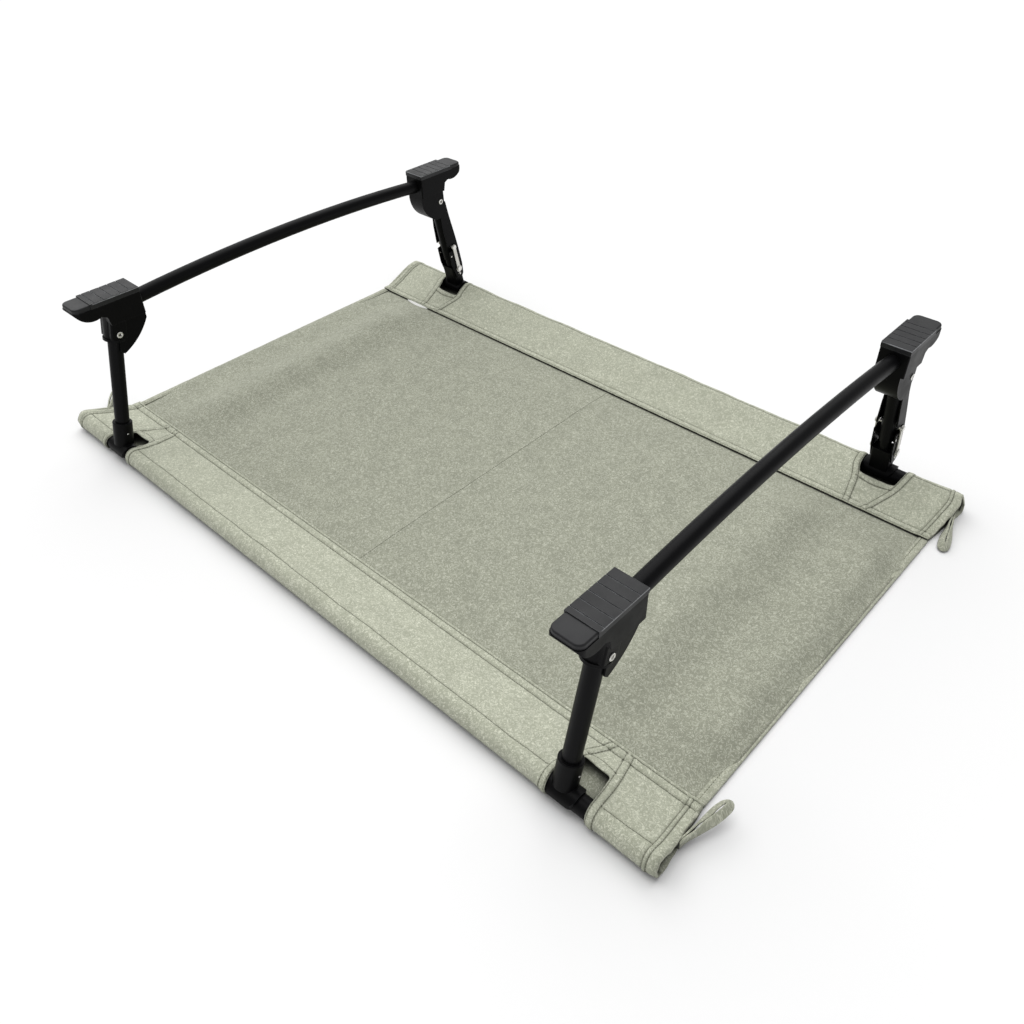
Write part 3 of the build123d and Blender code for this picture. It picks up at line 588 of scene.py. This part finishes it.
def plan_cutout(axis, hems):
    """Hole outline, middle lines of the raised hems and stitch lines of one cut-out."""
    top_run = run_at(hems[0] * MM)
    left, right = hem_line(axis, hems[2]), hem_line(axis, hems[3])
    sides = [left[left[:, 1] > top_run], right[right[:, 1] > top_run][::-1]]
    ring = np.vstack([*sides, sides[0][:1]])
    ring = spread(ring, 1.0 * MM)[:-1]
    hole = np.mean([np.roll(ring, k, 0) for k in range(-3, 4)], 0)[::2]
    bands = [hem_line(axis, between(first, second, 0.5)) for first, second in (hems[1:3], hems[3:5])]
    threads = []
    for edges in (hems[1:3], hems[3:5]):
        for share in (0.14, 0.86):
            threads.append(hem_line(axis, between(*edges, share), 2.5 * MM))
    x0, x1 = sides[0][-1][0], sides[1][0][0]
    for depth, where in ((3.8 * MM, bands), (7.0 * MM, threads)):
        bow = [
            (x0 - 1 * MM, top_run - depth + 2 * MM),
            ((x0 + x1) / 2, top_run - depth - 1 * MM),
            (x1 + 1 * MM, top_run - depth + 2 * MM),
        ]
        where.append(smooth_line(bow, 2.5 * MM))
    return hole, bands, threads


def sleeve_relief(points, row, seams, bands):
    """How far the cloth stands off its smooth section: hems, grooves, puckers, slack."""
    x, s = points.T
    u = section_place(s)[0]
    tip = end_at(s, row) - np.abs(x)
    side = -1 if row == "near" else 1
    lift = band_proud * soft_step((hem_depth - tip) / (1.4 * MM))
    raised = np.zeros(len(points))
    for band in bands:
        raised = np.maximum(raised, soft_step((band_half - distance_to(points, band)) / (1.3 * MM)))
    lift = np.maximum(lift, band_proud * raised * soft_step((s - lap) / (3 * MM)))
    lift += seam_puff * np.sin(pi * np.clip((s - lap) / strip, 0, 1))
    near_thread = np.zeros(len(points))
    for line in seams:
        d = distance_to(points, line)
        lift -= seam_dip * np.exp(-((d / (0.9 * MM)) ** 2))
        lift += seam_rise * np.exp(-(((d - 2.4 * MM) / (1.2 * MM)) ** 2))
        near_thread = np.maximum(near_thread, np.exp(-d / (6 * MM)))
    top = soft_step((crown_run + wrap_r * 1.8 - s) / (6 * MM))
    slack = np.array([noise.noise((a * 22, b * 34, side * 3.0)) for a, b in points])
    pucker = np.array([noise.noise((a * 170, b * 80, 5.0 + side)) for a, b in points])
    lift += top * slack_lift * slack * soft_step((u - seam_y - strip) / (20 * MM))
    lift += top * pucker_lift * pucker * near_thread
    drawn_in = soft_step((14 * MM - tip) / (14 * MM)) * soft_step((s - crown_run) / (10 * MM))
    lift = lift - roll_in * drawn_in
    for axis in (-leg_x, leg_x):
        over = soft_step((saddle_half + 3.5 * MM - np.abs(x - axis)) / (5 * MM))
        round_pole = soft_step((s - crown_run + wrap_r * 1.7) / (6 * MM)) * top
        lift = lift + over * round_pole * np.maximum(saddle_lift - lift, 0)
    return np.where(s > section_run - under_run, 0, lift)


def sweep(name, centres, sideways, upward, ring, material):
    """Solid strip along a path; `ring` is its section across the two given directions."""
    points, flat, quads = [], [], []
    length, n = 0.0, len(ring)
    for i, (c, a, b) in enumerate(zip(centres, sideways, upward)):
        length += (Vector(c) - Vector(centres[i - 1])).length if i else 0.0
        for k, (p, q) in enumerate(ring):
            points.append(Vector(c) + Vector(a) * p + Vector(b) * q)
            flat.append((length, k * MM + 2.0))
        if i:
            for k in range(n):
                m = (k + 1) % n
                quads.append(((i - 1) * n + k, (i - 1) * n + m, i * n + m, i * n + k))
    quads.append(tuple(range(n))[::-1])
    quads.append(tuple((len(centres) - 1) * n + k for k in range(n)))
    made = add_mesh(name, points, quads)
    lay_flat(made, flat)
    made.data.materials.append(material)
    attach(made, "deck")
    return made


def rounded_ring(half_wide, half_tall, count=12):
    """Section of a folded strip: a soft rectangle."""
    ring = []
    for k in range(count):
        c, d = cos(2 * pi * (k + 0.5) / count), sin(2 * pi * (k + 0.5) / count)
        ring.append((abs(c) ** 0.45 * (1 if c > 0 else -1) * half_wide,
                     abs(d) ** 0.45 * (1 if d > 0 else -1) * half_tall))
    return ring


end_runs = np.linspace(lap, section_run - under_run, 70)


def seam_lines(row, plans, long_u):
    """Flat lines of all the stitching of one sleeve: long seams, cut-outs and turned ends."""
    lines = [
        spread([(-end_at(s, row) + 4 * MM, s), (end_at(s, row) - 4 * MM, s)], 3 * MM)
        for s in (lap - seam_inset, flat_run - seam_inset)
    ]
    lines += plans[0][2] + plans[1][2]
    long_s = run_at(long_u)
    stops = [-end_at(long_s, row) + hem_depth]
    for out in (-1, 1):
        hems = cutout_hems[row, out]
        stops += [out * leg_x + hems[1][1] * MM, out * leg_x + hems[4][1] * MM]
    stops.append(end_at(long_s, row) - hem_depth)
    lines += [spread([(a, long_s), (b, long_s)], 3 * MM) for a, b in zip(stops[0::2], stops[1::2])]
    for out in (-1, 1):
        for shift in turned_rows:
            x = out * (end_at(end_runs, row) - (hem_depth + shift))
            lines.append(spread(np.stack([x, end_runs], 1), 2.5 * MM))
    return lines


def flat_outline(row):
    """Outline of one sleeve's cloth laid flat, corner by corner."""
    runs = np.linspace(0, section_run, 84)
    tips = end_at(runs, row)
    return np.vstack(
        [
            np.stack([tips, runs], 1),
            spread([(tips[-1], section_run), (-tips[-1], section_run)], 5 * MM)[1:-1],
            np.stack([-tips, runs], 1)[::-1],
            spread([(-tips[0], 0), (tips[0], 0)], 3 * MM)[1:-1],
        ]
    )


def cloth_points(row, lines, bands):
    """Flat points for the mesh: close rows along stitching and hems, a loose grid between."""
    columns = np.arange(-sleeve_tip, sleeve_tip, grid_along)
    arc_from = flat_run + slope_run
    rows = np.concatenate(
        [
            np.arange(1.5 * MM, arc_from, grid_flat),
            np.arange(arc_from, arc_from + arc_run, grid_round),
            np.arange(arc_from + arc_run, section_run - 2 * MM, grid_under),
        ]
    )
    filler = np.stack(np.meshgrid(columns, rows), -1).reshape(-1, 2)
    filler += np.stack([(np.arange(len(filler)) % 2) * 1.5 * MM, np.zeros(len(filler))], 1)
    beside = []
    for line, offsets in [(line, beside_seam) for line in lines] + [(band, beside_hem) for band in bands]:
        d = np.gradient(line, axis=0)
        d /= np.hypot(*d.T)[:, None]
        across_line = np.stack([-d[:, 1], d[:, 0]], 1)
        beside += [line + across_line * off * MM for off in offsets]
    for out in (-1, 1):
        beside.append(np.stack([out * (end_at(end_runs, row) - hem_depth - 1.3 * MM), end_runs], 1))
    room = np.min([distance_to(filler, line) for line in lines + bands], 0)
    return np.vstack([*beside, filler[room > grid_room]])


def triangulate(points, border, holes):
    """Mesh a flat sheet with holes; returns its points and its triangles."""
    keep = inside(points, border)
    for outline in [border] + holes:
        keep &= distance_to(points, np.vstack([outline, outline[:1]])) > edge_room
    for hole in holes:
        keep &= ~inside(points, hole)
    cells = {}
    for p in points[keep]:
        cells.setdefault((int(p[0] // point_room), int(p[1] // point_room)), p)
    verts, edges = [], []
    for outline in [border] + holes:
        first, count = len(verts), len(outline)
        verts += [Vector(p) for p in outline]
        edges += [(first + i, first + (i + 1) % count) for i in range(count)]
    verts += [Vector(p) for p in cells.values()]
    out_verts, _, faces, *_ = delaunay_2d_cdt(verts, edges, [], 0, 1e-6)
    flat, faces = np.array([tuple(v) for v in out_verts]), np.array(faces)
    middles = flat[faces].mean(1)
    good = inside(middles, border)
    for hole in holes:
        good &= ~inside(middles, hole)
    faces = faces[good]
    used = np.unique(faces)
    index = np.full(len(flat), -1)
    index[used] = np.arange(len(used))
    return flat[used], index[faces]


def make_rims(row, side):
    """Rounded rims along both open ends of one sleeve, thin where they lie on the floor."""
    rims = []
    for end_name, out in (("left", -1), ("right", 1)):
        runs = np.linspace(lap + 1 * MM, section_run - 6 * MM, 110)
        u, z, nu, nz = section_place(runs)
        thick = np.where(nz < -0.5, 0.35, 1.0)
        ring = rounded_ring(rim_half_wide, rim_half_tall)
        wobble = np.array([noise.noise((r * 120, out * 3.0, side * 2.0)) for r in runs]) * 0.7 * MM
        pull = roll_in * soft_step((runs - crown_run) / (10 * MM)) * (runs < section_run - under_run)
        off = np.where(nz > 0, 0.3 * MM, 0) - pull
        out_x = out * (end_at(runs, row) - 1.2 * MM) + wobble
        centres = np.stack([out_x, side * (u + nu * off), z + nz * off], 1)
        sideways = [Vector((out * -side, 0, 0))] * len(runs)
        upward = [Vector((0, side * a * t, b * t)) for a, b, t in zip(nu, nz, thick)]
        rims.append(sweep(f"{row}_{end_name}_sleeve_rim", centres, sideways, upward, ring, hem_cloth))
    return rims


def make_sleeve(row, side, long_u, edge_lift):
    """One sleeve: a single sheet with hemmed cut-outs, then its thread and its rims."""
    plans = [plan_cutout(out * leg_x, cutout_hems[row, out]) for out in (-1, 1)]
    holes = [plan[0] for plan in plans]
    bands = plans[0][1] + plans[1][1]
    lines = seam_lines(row, plans, long_u)
    flat, faces = triangulate(cloth_points(row, lines, bands), flat_outline(row), holes)

    def place(points, proud=0.0):
        u, z, nu, nz = section_place(points[:, 1])
        lift = sleeve_relief(points, row, lines, bands) + proud
        edge = edge_lift * np.clip(1 - points[:, 1] / flat_run, 0, 1)
        return np.stack([points[:, 0], side * (u + nu * lift), z + nz * lift + edge], 1)

    made = add_mesh(f"{row}_sleeve_cloth", place(flat), faces if side < 0 else faces[:, ::-1])
    lay_flat(made, flat + (0, side * 0.3))
    # Painted shade along every stitch line, which the cloth material reads as darkening.
    groove = np.max([np.exp(-((distance_to(flat, line) / (0.8 * MM)) ** 2)) for line in lines], 0)
    made.data.attributes.new("groove", "FLOAT", "POINT").data.foreach_set("value", groove)
    finish_cloth(made, sleeve_cloth, cloth_thick, f"{row}_sleeve")
    stitched = sew(f"{row}_sleeve_thread", [place(line, cloth_thick / 2 + thread_proud) for line in lines])
    return made, [stitched, *make_rims(row, side)]


sleeves = {
    "near": make_sleeve("near", -1, 279 * MM, 0.3 * MM),
    "far": make_sleeve("far", 1, 284 * MM, 1.3 * MM),
}

# ---- sling -----------------------------------------------------------------
# The panel that the dog lies on: one flat piece of the same cloth, a shade deeper,
# with a joining seam across its middle and a little slack towards each end.
join_x = 5.0 * MM
wave_places = (-438, -405, -350, -300, -245, 245, 305, 355, 412, 438)
wave_heights = (1.2, 0.2, 10.0, 0.4, 1.4, 1.0, 9.0, 0.2, 10.0, 1.0)
sling_end = deck_half - 2.0 * MM
sling_side = seam_y - 0.4 * MM
slack_reach = 70 * MM               # the waves die out towards the long seams
wave_wander = 6 * MM
join_puff = 0.5 * MM
join_dip = 0.45 * MM


def sling_height(x, y):
    """Middle height of the sling: flat, with soft waves across it near each end."""
    slack = soft_step((sling_side - np.abs(y)) / slack_reach)
    bend = wave_wander * np.array([noise.noise((b * 7, 0.3, 2.0)) for b in y])
    crests = np.array(wave_heights) * MM
    step = np.interp(x + bend, np.array(wave_places) * MM, np.arange(len(crests)))
    first = np.clip(step.astype(int), 0, len(crests) - 2)
    wave = crests[first] + (crests[first + 1] - crests[first]) * soft_step(step - first)
    ripple = np.array([noise.noise((a * 9, b * 14, 1.0)) for a, b in zip(x, y)])
    fuzz = np.array([noise.noise((a * 45, b * 45, 7.0)) for a, b in zip(x, y)])
    quilt = join_puff * np.exp(-(((x - join_x) / (3.0 * MM)) ** 2))
    groove = join_dip * np.exp(-(((x - join_x) / (0.9 * MM)) ** 2))
    soft = 0.9 * MM * (ripple + 1) / 2 + 0.12 * MM * fuzz
    return lower_z + slack * (wave + soft) + quilt - groove


coarse = np.arange(-sling_end, sling_end, 4.5 * MM)
fine = join_x + np.arange(-6, 6.1, 0.75) * MM
columns = np.unique(np.round(np.concatenate([coarse, [sling_end], fine]), 6))
ranks = np.linspace(-sling_side, sling_side, 90)
grid_x, grid_y = (g.ravel() for g in np.meshgrid(columns, ranks))
wide = len(columns)
quads = [
    (j * wide + i, j * wide + i + 1, (j + 1) * wide + i + 1, (j + 1) * wide + i)
    for j in range(len(ranks) - 1)
    for i in range(wide - 1)
]
sling = add_mesh("sling_cloth_panel", np.stack([grid_x, grid_y, sling_height(grid_x, grid_y)], 1), quads)
lay_flat(sling, np.stack([grid_x, grid_y], 1))
finish_cloth(sling, sling_cloth, cloth_thick, "sling_panel")

# ---- end hems --------------------------------------------------------------
# Each short end of the sling is turned over once, 10 mm wide, and stitched down.
hem_wide = 10.0 * MM
hem_thick = 0.9 * MM
fold_r = 0.72 * MM
hem_pieces = []
for end_name, out in (("left", -1), ("right", 1)):
    inner = deck_half - hem_wide
    # The section dips under the thread and ends in a rounded fold at the deck's edge.
    profile = [(inner + 0.2 * MM, 1.9 * MM), (inner + 2.4 * MM, 2.25 * MM), (inner + 3.4 * MM, 1.95 * MM)]
    profile += [(inner + 4.6 * MM, 2.3 * MM), (inner + 7.5 * MM, 2.3 * MM)]
    for step in range(7):
        turn = pi / 2 - pi * step / 6
        profile.append((deck_half - fold_r + fold_r * cos(turn) * 1.1, 1.42 * MM + fold_r * sin(turn)))
    stations = np.arange(-seam_y + 0.5 * MM, seam_y - 0.4 * MM, 2.4 * MM)
    points, flat = [], []
    for y in stations:
        for k, (px, pz) in enumerate(profile):
            pull = noise.noise((y * 210, out * 2.0, 0)) * 0.28 * MM
            wave = noise.noise((y * 60, k * 0.6, out * 4.0)) * 0.30 * MM
            points.append((out * (px + (pull if k > 3 else 0)), y, max(pz + wave, 0.7 * MM)))
            flat.append((px + k * 0.3 * MM, y + 1.0))
    count = len(profile)
    quads = []
    for j in range(len(stations) - 1):
        for k in range(count - 1):
            a, b = j * count + k, j * count + k + 1
            ring = (a, b, b + count, a + count)
            quads.append(ring if out > 0 else ring[::-1])
    hem = add_mesh(f"{end_name}_hem_cloth", points, quads)
    lay_flat(hem, flat)
    finish_cloth(hem, hem_cloth, hem_thick, f"{end_name}_end_hem")
    line = [(out * (inner + 3.4 * MM), y, 2.45 * MM) for y in stations]
    sewn = sew(f"{end_name}_hem_thread", [line])
    hem_pieces += [hem, sewn]

join_heights = sling_height(np.full(len(ranks), join_x), ranks) + 0.7 * MM
join_line = [(join_x, y, float(z)) for y, z in zip(ranks, join_heights)]
join_thread = sew("middle_seam_thread", [join_line])

# ---- pull loops ------------------------------------------------------------
# A folded strip comes out of a sleeve end on its edge and leans over towards its tip.
# The table gives each loop's lean in degrees, then in mm its length, how far its root
# lies from the standard place, and how high its root and its tip stand.
strip_half_wide = 4.6 * MM
strip_half_thick = 1.1 * MM
loop_root_out = 7.2 * MM
loop_root_in = 34 * MM
loop_laid = radians(36)
for row, end_name, side, out, lean, tall, shift, low, high in (
    ("near", "left", -1, -1, 50, 34, 0, 5, 8),
    ("near", "right", -1, 1, 13, 45, 0, 5, 14),
    ("far", "right", 1, 1, 13, 44, -4, 2, 0),
):
    root = Vector((out * (deck_half + loop_root_out), side * (pole_y - loop_root_in - shift * MM), 0))
    along = Vector((out * sin(radians(lean)), -side * cos(radians(lean)), 0))
    aside = Vector((along.y, -along.x, 0))
    half_route = [(-10, 0.9), (0, 1.1), (10, 2.2)]
    half_route += [(tall - 20, 3.1), (tall - 10, 3.5), (tall - 3, 2.7), (tall, 0)]
    route = half_route + [(a, -b) for a, b in half_route[-2::-1]]
    centre = smooth_line(np.array(route) * MM, 1.2 * MM)
    heading = np.gradient(centre, axis=0)
    heading /= np.hypot(*heading.T)[:, None]
    centres, sideways, upward = [], [], []
    for i, (c, h) in enumerate(zip(centre, heading)):
        laid = loop_laid * float(soft_step(c[0] / (26 * MM)))
        inward = along * h[1] - aside * h[0]
        up_strip = Vector((0, 0, 1)) * cos(laid) + inward * sin(laid)
        rest = strip_half_wide * cos(laid) + strip_half_thick * sin(laid) + 0.3 * MM
        lift = (low + (high - low) * c[0] / (tall * MM)) * MM + 0.4 * MM * sin(i * 0.35)
        p = root + along * c[0] + aside * c[1]
        centres.append((p.x, p.y, rest + max(lift, 0)))
        across_strip = up_strip.cross(along * h[0] + aside * h[1])
        sideways.append(across_strip)
        upward.append(up_strip)
    loop = sweep(f"{row}_{end_name}_loop_strip", centres, sideways, upward,
                 rounded_ring(strip_half_thick, strip_half_wide), hem_cloth)
    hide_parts(f"{row}_{end_name}_pull_loop")
    sleeves[row][1].append(loop)

# ---- blank tag -------------------------------------------------------------
# A small white satin label, folded into the seam under the far sleeve; nothing on it.
tag_low, tag_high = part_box("blank_tag")
tag_thick = 0.4 * MM
tag_columns, tag_ranks = 24, 6
satin, tree, shader = new_material("tag_satin")
coords = node(tree, "ShaderNodeTexCoord")
ribs = node(tree, "ShaderNodeTexWave", bands_direction="X", in_Scale=380.0, in_Distortion=0.6)
tree.links.new(coords.outputs["Object"], ribs.inputs["Vector"])
tree.links.new(
    mix_colour(tree, ribs.outputs["Fac"], (0.80, 0.80, 0.77, 1), (0.90, 0.90, 0.87, 1)),
    shader.inputs["Base Color"],
)
relief = node(tree, "ShaderNodeBump", in_Strength=0.25, in_Distance=0.0002)
tree.links.new(ribs.outputs["Fac"], relief.inputs["Height"])
tree.links.new(relief.outputs["Normal"], shader.inputs["Normal"])
shader.inputs["Roughness"].default_value = 0.55
points, quads = [], []
for i in range(tag_columns + 1):
    belly = sin(pi * i / tag_columns) ** 0.7
    for j in range(tag_ranks + 1):
        x = tag_low.x + (tag_high.x - tag_low.x) * i / tag_columns
        y = seam_y - lap + 1.0 * MM - (1.6 + 3.4 * belly) * MM * j / tag_ranks
        drop = (0.8 + 1.1 * sin(pi * j / (2 * tag_ranks))) * MM * j / tag_ranks
        points.append((x, y, 3.5 * MM - drop))
        if i < tag_columns and j < tag_ranks:
            a = i * (tag_ranks + 1) + j
            quads.append((a, a + tag_ranks + 1, a + tag_ranks + 2, a + 1))
tag = add_mesh("tag_label", points, quads)
finish_cloth(tag, satin, tag_thick, "blank_tag")

# ---- tubes, plastics, rubber and steel -------------------------------------
# The frame: black anodised tubes, glass-filled nylon hubs and clips, rubber soles,
# powder-coated levers, stamped links.  Their edges are painted lighter, partly as handling wear and partly
# as a painted edge highlight.
wear_and_highlight_group, group_in, group_out = make_group(
    "worn_and_highlit_finish",
    [
        ("Base", "NodeSocketColor", (0.012, 0.012, 0.013, 1)),
        ("Rubbed highlight", "NodeSocketColor", (0.06, 0.06, 0.062, 1)),
        ("Grain scale", "NodeSocketFloat", 900.0),
        ("Low rough", "NodeSocketFloat", 0.3),
        ("High rough", "NodeSocketFloat", 0.5),
    ],
    [("Color", "NodeSocketColor"), ("Roughness", "NodeSocketFloat"), ("Height", "NodeSocketFloat")],
)
coords = node(wear_and_highlight_group, "ShaderNodeTexCoord").outputs["Object"]
# Lighter edges found by the bevel node: partly handling wear, partly a painted edge highlight.
rounded = node(wear_and_highlight_group, "ShaderNodeBevel", samples=4, in_Radius=0.0009)
plain = node(wear_and_highlight_group, "ShaderNodeNewGeometry")
facing = node(wear_and_highlight_group, "ShaderNodeVectorMath", operation="DOT_PRODUCT")
wear_and_highlight_group.links.new(rounded.outputs[0], facing.inputs[0])
wear_and_highlight_group.links.new(plain.outputs["Normal"], facing.inputs[1])
edge = remap(wear_and_highlight_group, facing.outputs["Value"], 0.80, 0.99, 1.0, 0.0)
patchy = remap(wear_and_highlight_group, noise_value(wear_and_highlight_group, coords, 160.0, 3.0, 0.6), 0.4, 0.7, 0.1, 0.8)
rub_highlight = math_node(wear_and_highlight_group, "MULTIPLY", edge, patchy)
grain_node = wear_and_highlight_group.nodes.new("ShaderNodeTexNoise")
wear_and_highlight_group.links.new(coords, grain_node.inputs["Vector"])
wear_and_highlight_group.links.new(group_in.outputs["Grain scale"], grain_node.inputs["Scale"])
grain_node.inputs["Detail"].default_value = 2.0
cloudy = noise_value(wear_and_highlight_group, coords, 45.0, 3.0, 0.55)
wear_and_highlight_group.links.new(
    mix_colour(wear_and_highlight_group, rub_highlight, group_in.outputs["Base"], group_in.outputs["Rubbed highlight"]),
    group_out.inputs["Color"],
)
rough = wear_and_highlight_group.nodes.new("ShaderNodeMapRange")
wear_and_highlight_group.links.new(cloudy, rough.inputs["Value"])
rough.inputs["From Min"].default_value = 0.3
rough.inputs["From Max"].default_value = 0.7
wear_and_highlight_group.links.new(group_in.outputs["Low rough"], rough.inputs["To Min"])
wear_and_highlight_group.links.new(group_in.outputs["High rough"], rough.inputs["To Max"])
wear_and_highlight_group.links.new(rough.outputs["Result"], group_out.inputs["Roughness"])
wear_and_highlight_group.links.new(grain_node.outputs["Fac"], group_out.inputs["Height"])


def worn_and_highlit(name, base, rubbed_highlight, grain, rough_range, bump, metallic=0.0, specular=0.5):
    """Hard finish: base colour, edges painted lighter as wear and as a painted highlight, fine grain and
    uneven gloss.
    """
    made, tree, shader = new_material(name)
    finish = node(tree, "ShaderNodeGroup", node_tree=wear_and_highlight_group)
    finish.inputs["Base"].default_value = (*base, 1)
    finish.inputs["Rubbed highlight"].default_value = (*rubbed_highlight, 1)
    finish.inputs["Grain scale"].default_value = grain
    finish.inputs["Low rough"].default_value, finish.inputs["High rough"].default_value = rough_range
    relief = node(tree, "ShaderNodeBump", in_Strength=bump, in_Distance=0.00015)
    tree.links.new(finish.outputs["Height"], relief.inputs["Height"])
    tree.links.new(finish.outputs["Color"], shader.inputs["Base Color"])
    tree.links.new(finish.outputs["Roughness"], shader.inputs["Roughness"])
    tree.links.new(relief.outputs["Normal"], shader.inputs["Normal"])
    shader.inputs["Metallic"].default_value = metallic
    shader.inputs["Specular IOR Level"].default_value = specular
    return made


finishes = {
    "pole_tube": worn_and_highlit(
        "anodised_tube", (0.0035, 0.0035, 0.004), (0.02, 0.02, 0.022), 1400, (0.34, 0.44), 0.10, 0, 0.08
    ),
    "hard_plastic": worn_and_highlit(
        "glass_nylon", (0.0025, 0.0025, 0.0028), (0.035, 0.035, 0.037), 1100, (0.34, 0.46), 0.22, 0, 0.08
    ),
    "sole_rubber": worn_and_highlit(
        "sole_rubber", (0.009, 0.0093, 0.0105), (0.10, 0.103, 0.11), 800, (0.42, 0.55), 0.35, 0, 0.32
    ),
    "lever_steel": worn_and_highlit(
        "powder_coat", (0.0022, 0.0022, 0.0025), (0.02, 0.02, 0.021), 1500, (0.34, 0.44), 0.25, 0, 0.08
    ),
    "link_steel": worn_and_highlit(
        "stamped_link", (0.66, 0.65, 0.61), (0.85, 0.84, 0.81), 600, (0.35, 0.5), 0.15, 0.75
    ),
    "rivet_steel": worn_and_highlit(
        "plated_rivet", (0.74, 0.73, 0.70), (0.9, 0.89, 0.86), 500, (0.22, 0.32), 0.10, 0.9
    ),
    "ferrule_alloy": worn_and_highlit(
        "drawn_alloy", (0.60, 0.60, 0.62), (0.8, 0.8, 0.82), 700, (0.35, 0.45), 0.10, 1.0
    ),
    "shock_cord": worn_and_highlit(
        "braided_cord", (0.015, 0.015, 0.016), (0.05, 0.05, 0.05), 2400, (0.6, 0.75), 0.60
    ),
}

# The grooves of the soles and their rims, which lie in one thin band of heights, are painted pale
# as a painted highlight; the tongues lie in that band too and are left out.
groove_highlight_colour = (0.30, 0.306, 0.32, 1)
groove_top, groove_floor = 0.3 * MM, 1.5 * MM
band_blur = 0.3 * MM
tongue_long = 21.5 * MM
sole_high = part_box("right_far_sole")[1]
tongue_root = sole_high.y - tongue_long
sole = finishes["sole_rubber"].node_tree
sole_shader = sole.nodes["Principled BSDF"]
plain_rubber = sole_shader.inputs["Base Color"].links[0].from_socket
sole_at = node(sole, "ShaderNodeTexCoord").outputs["Object"]
split = node(sole, "ShaderNodeSeparateXYZ")
sole.links.new(sole_at, split.inputs[0])
top, bottom = sole_high.z - groove_top, sole_high.z - groove_floor
below = remap(sole, split.outputs["Z"], top - band_blur, top, 1.0, 0.0)
above = remap(sole, split.outputs["Z"], bottom, bottom + band_blur, 0.0, 1.0)
caught = remap(sole, noise_value(sole, sole_at, 90.0, 2.0, 0.5), 0.3, 0.6, 0.45, 1.0)
out_from_middle = math_node(sole, "ABSOLUTE", split.outputs["Y"])
off_tongue = remap(sole, out_from_middle, tongue_root - 0.5 * MM, tongue_root, 1.0, 0.0)
# Painted highlight: patchy pale colour in the sole grooves and along their rims.
groove_highlight_mask = math_node(sole, "MULTIPLY", math_node(sole, "MULTIPLY", below, above), caught)
groove_highlight_mask = math_node(sole, "MULTIPLY", groove_highlight_mask, off_tongue)
groove_highlight = sole.nodes.new("ShaderNodeRGB")
groove_highlight.outputs[0].default_value = groove_highlight_colour
sole.links.new(mix_colour(sole, groove_highlight_mask, plain_rubber, groove_highlight.outputs[0]), sole_shader.inputs["Base Color"])

edge_round = {"hard_plastic": 0.45, "sole_rubber": 0.40, "lever_steel": 0.30, "link_steel": 0.20}
for part in frame["record"]["subparts"]:
    slot = part["material_slot"]
    if slot not in finishes:
        continue
    body = frame["nodes"][part["node"]]
    body.data.materials.clear()
    body.data.materials.append(finishes[slot])
    body.data.polygons.foreach_set("use_smooth", [True] * len(body.data.polygons))
    weld = body.modifiers.new("weld", "WELD")
    weld.merge_threshold = 0.01 * MM
    if slot in edge_round:
        edges = body.modifiers.new("edges", "BEVEL")
        edges.width = edge_round[slot] * MM
        edges.segments = 2
        edges.limit_method = "ANGLE"
        edges.angle_limit = radians(38)
    shading = body.modifiers.new("shading", "WEIGHTED_NORMAL")
    shading.keep_sharp = False
    shading.weight = 50
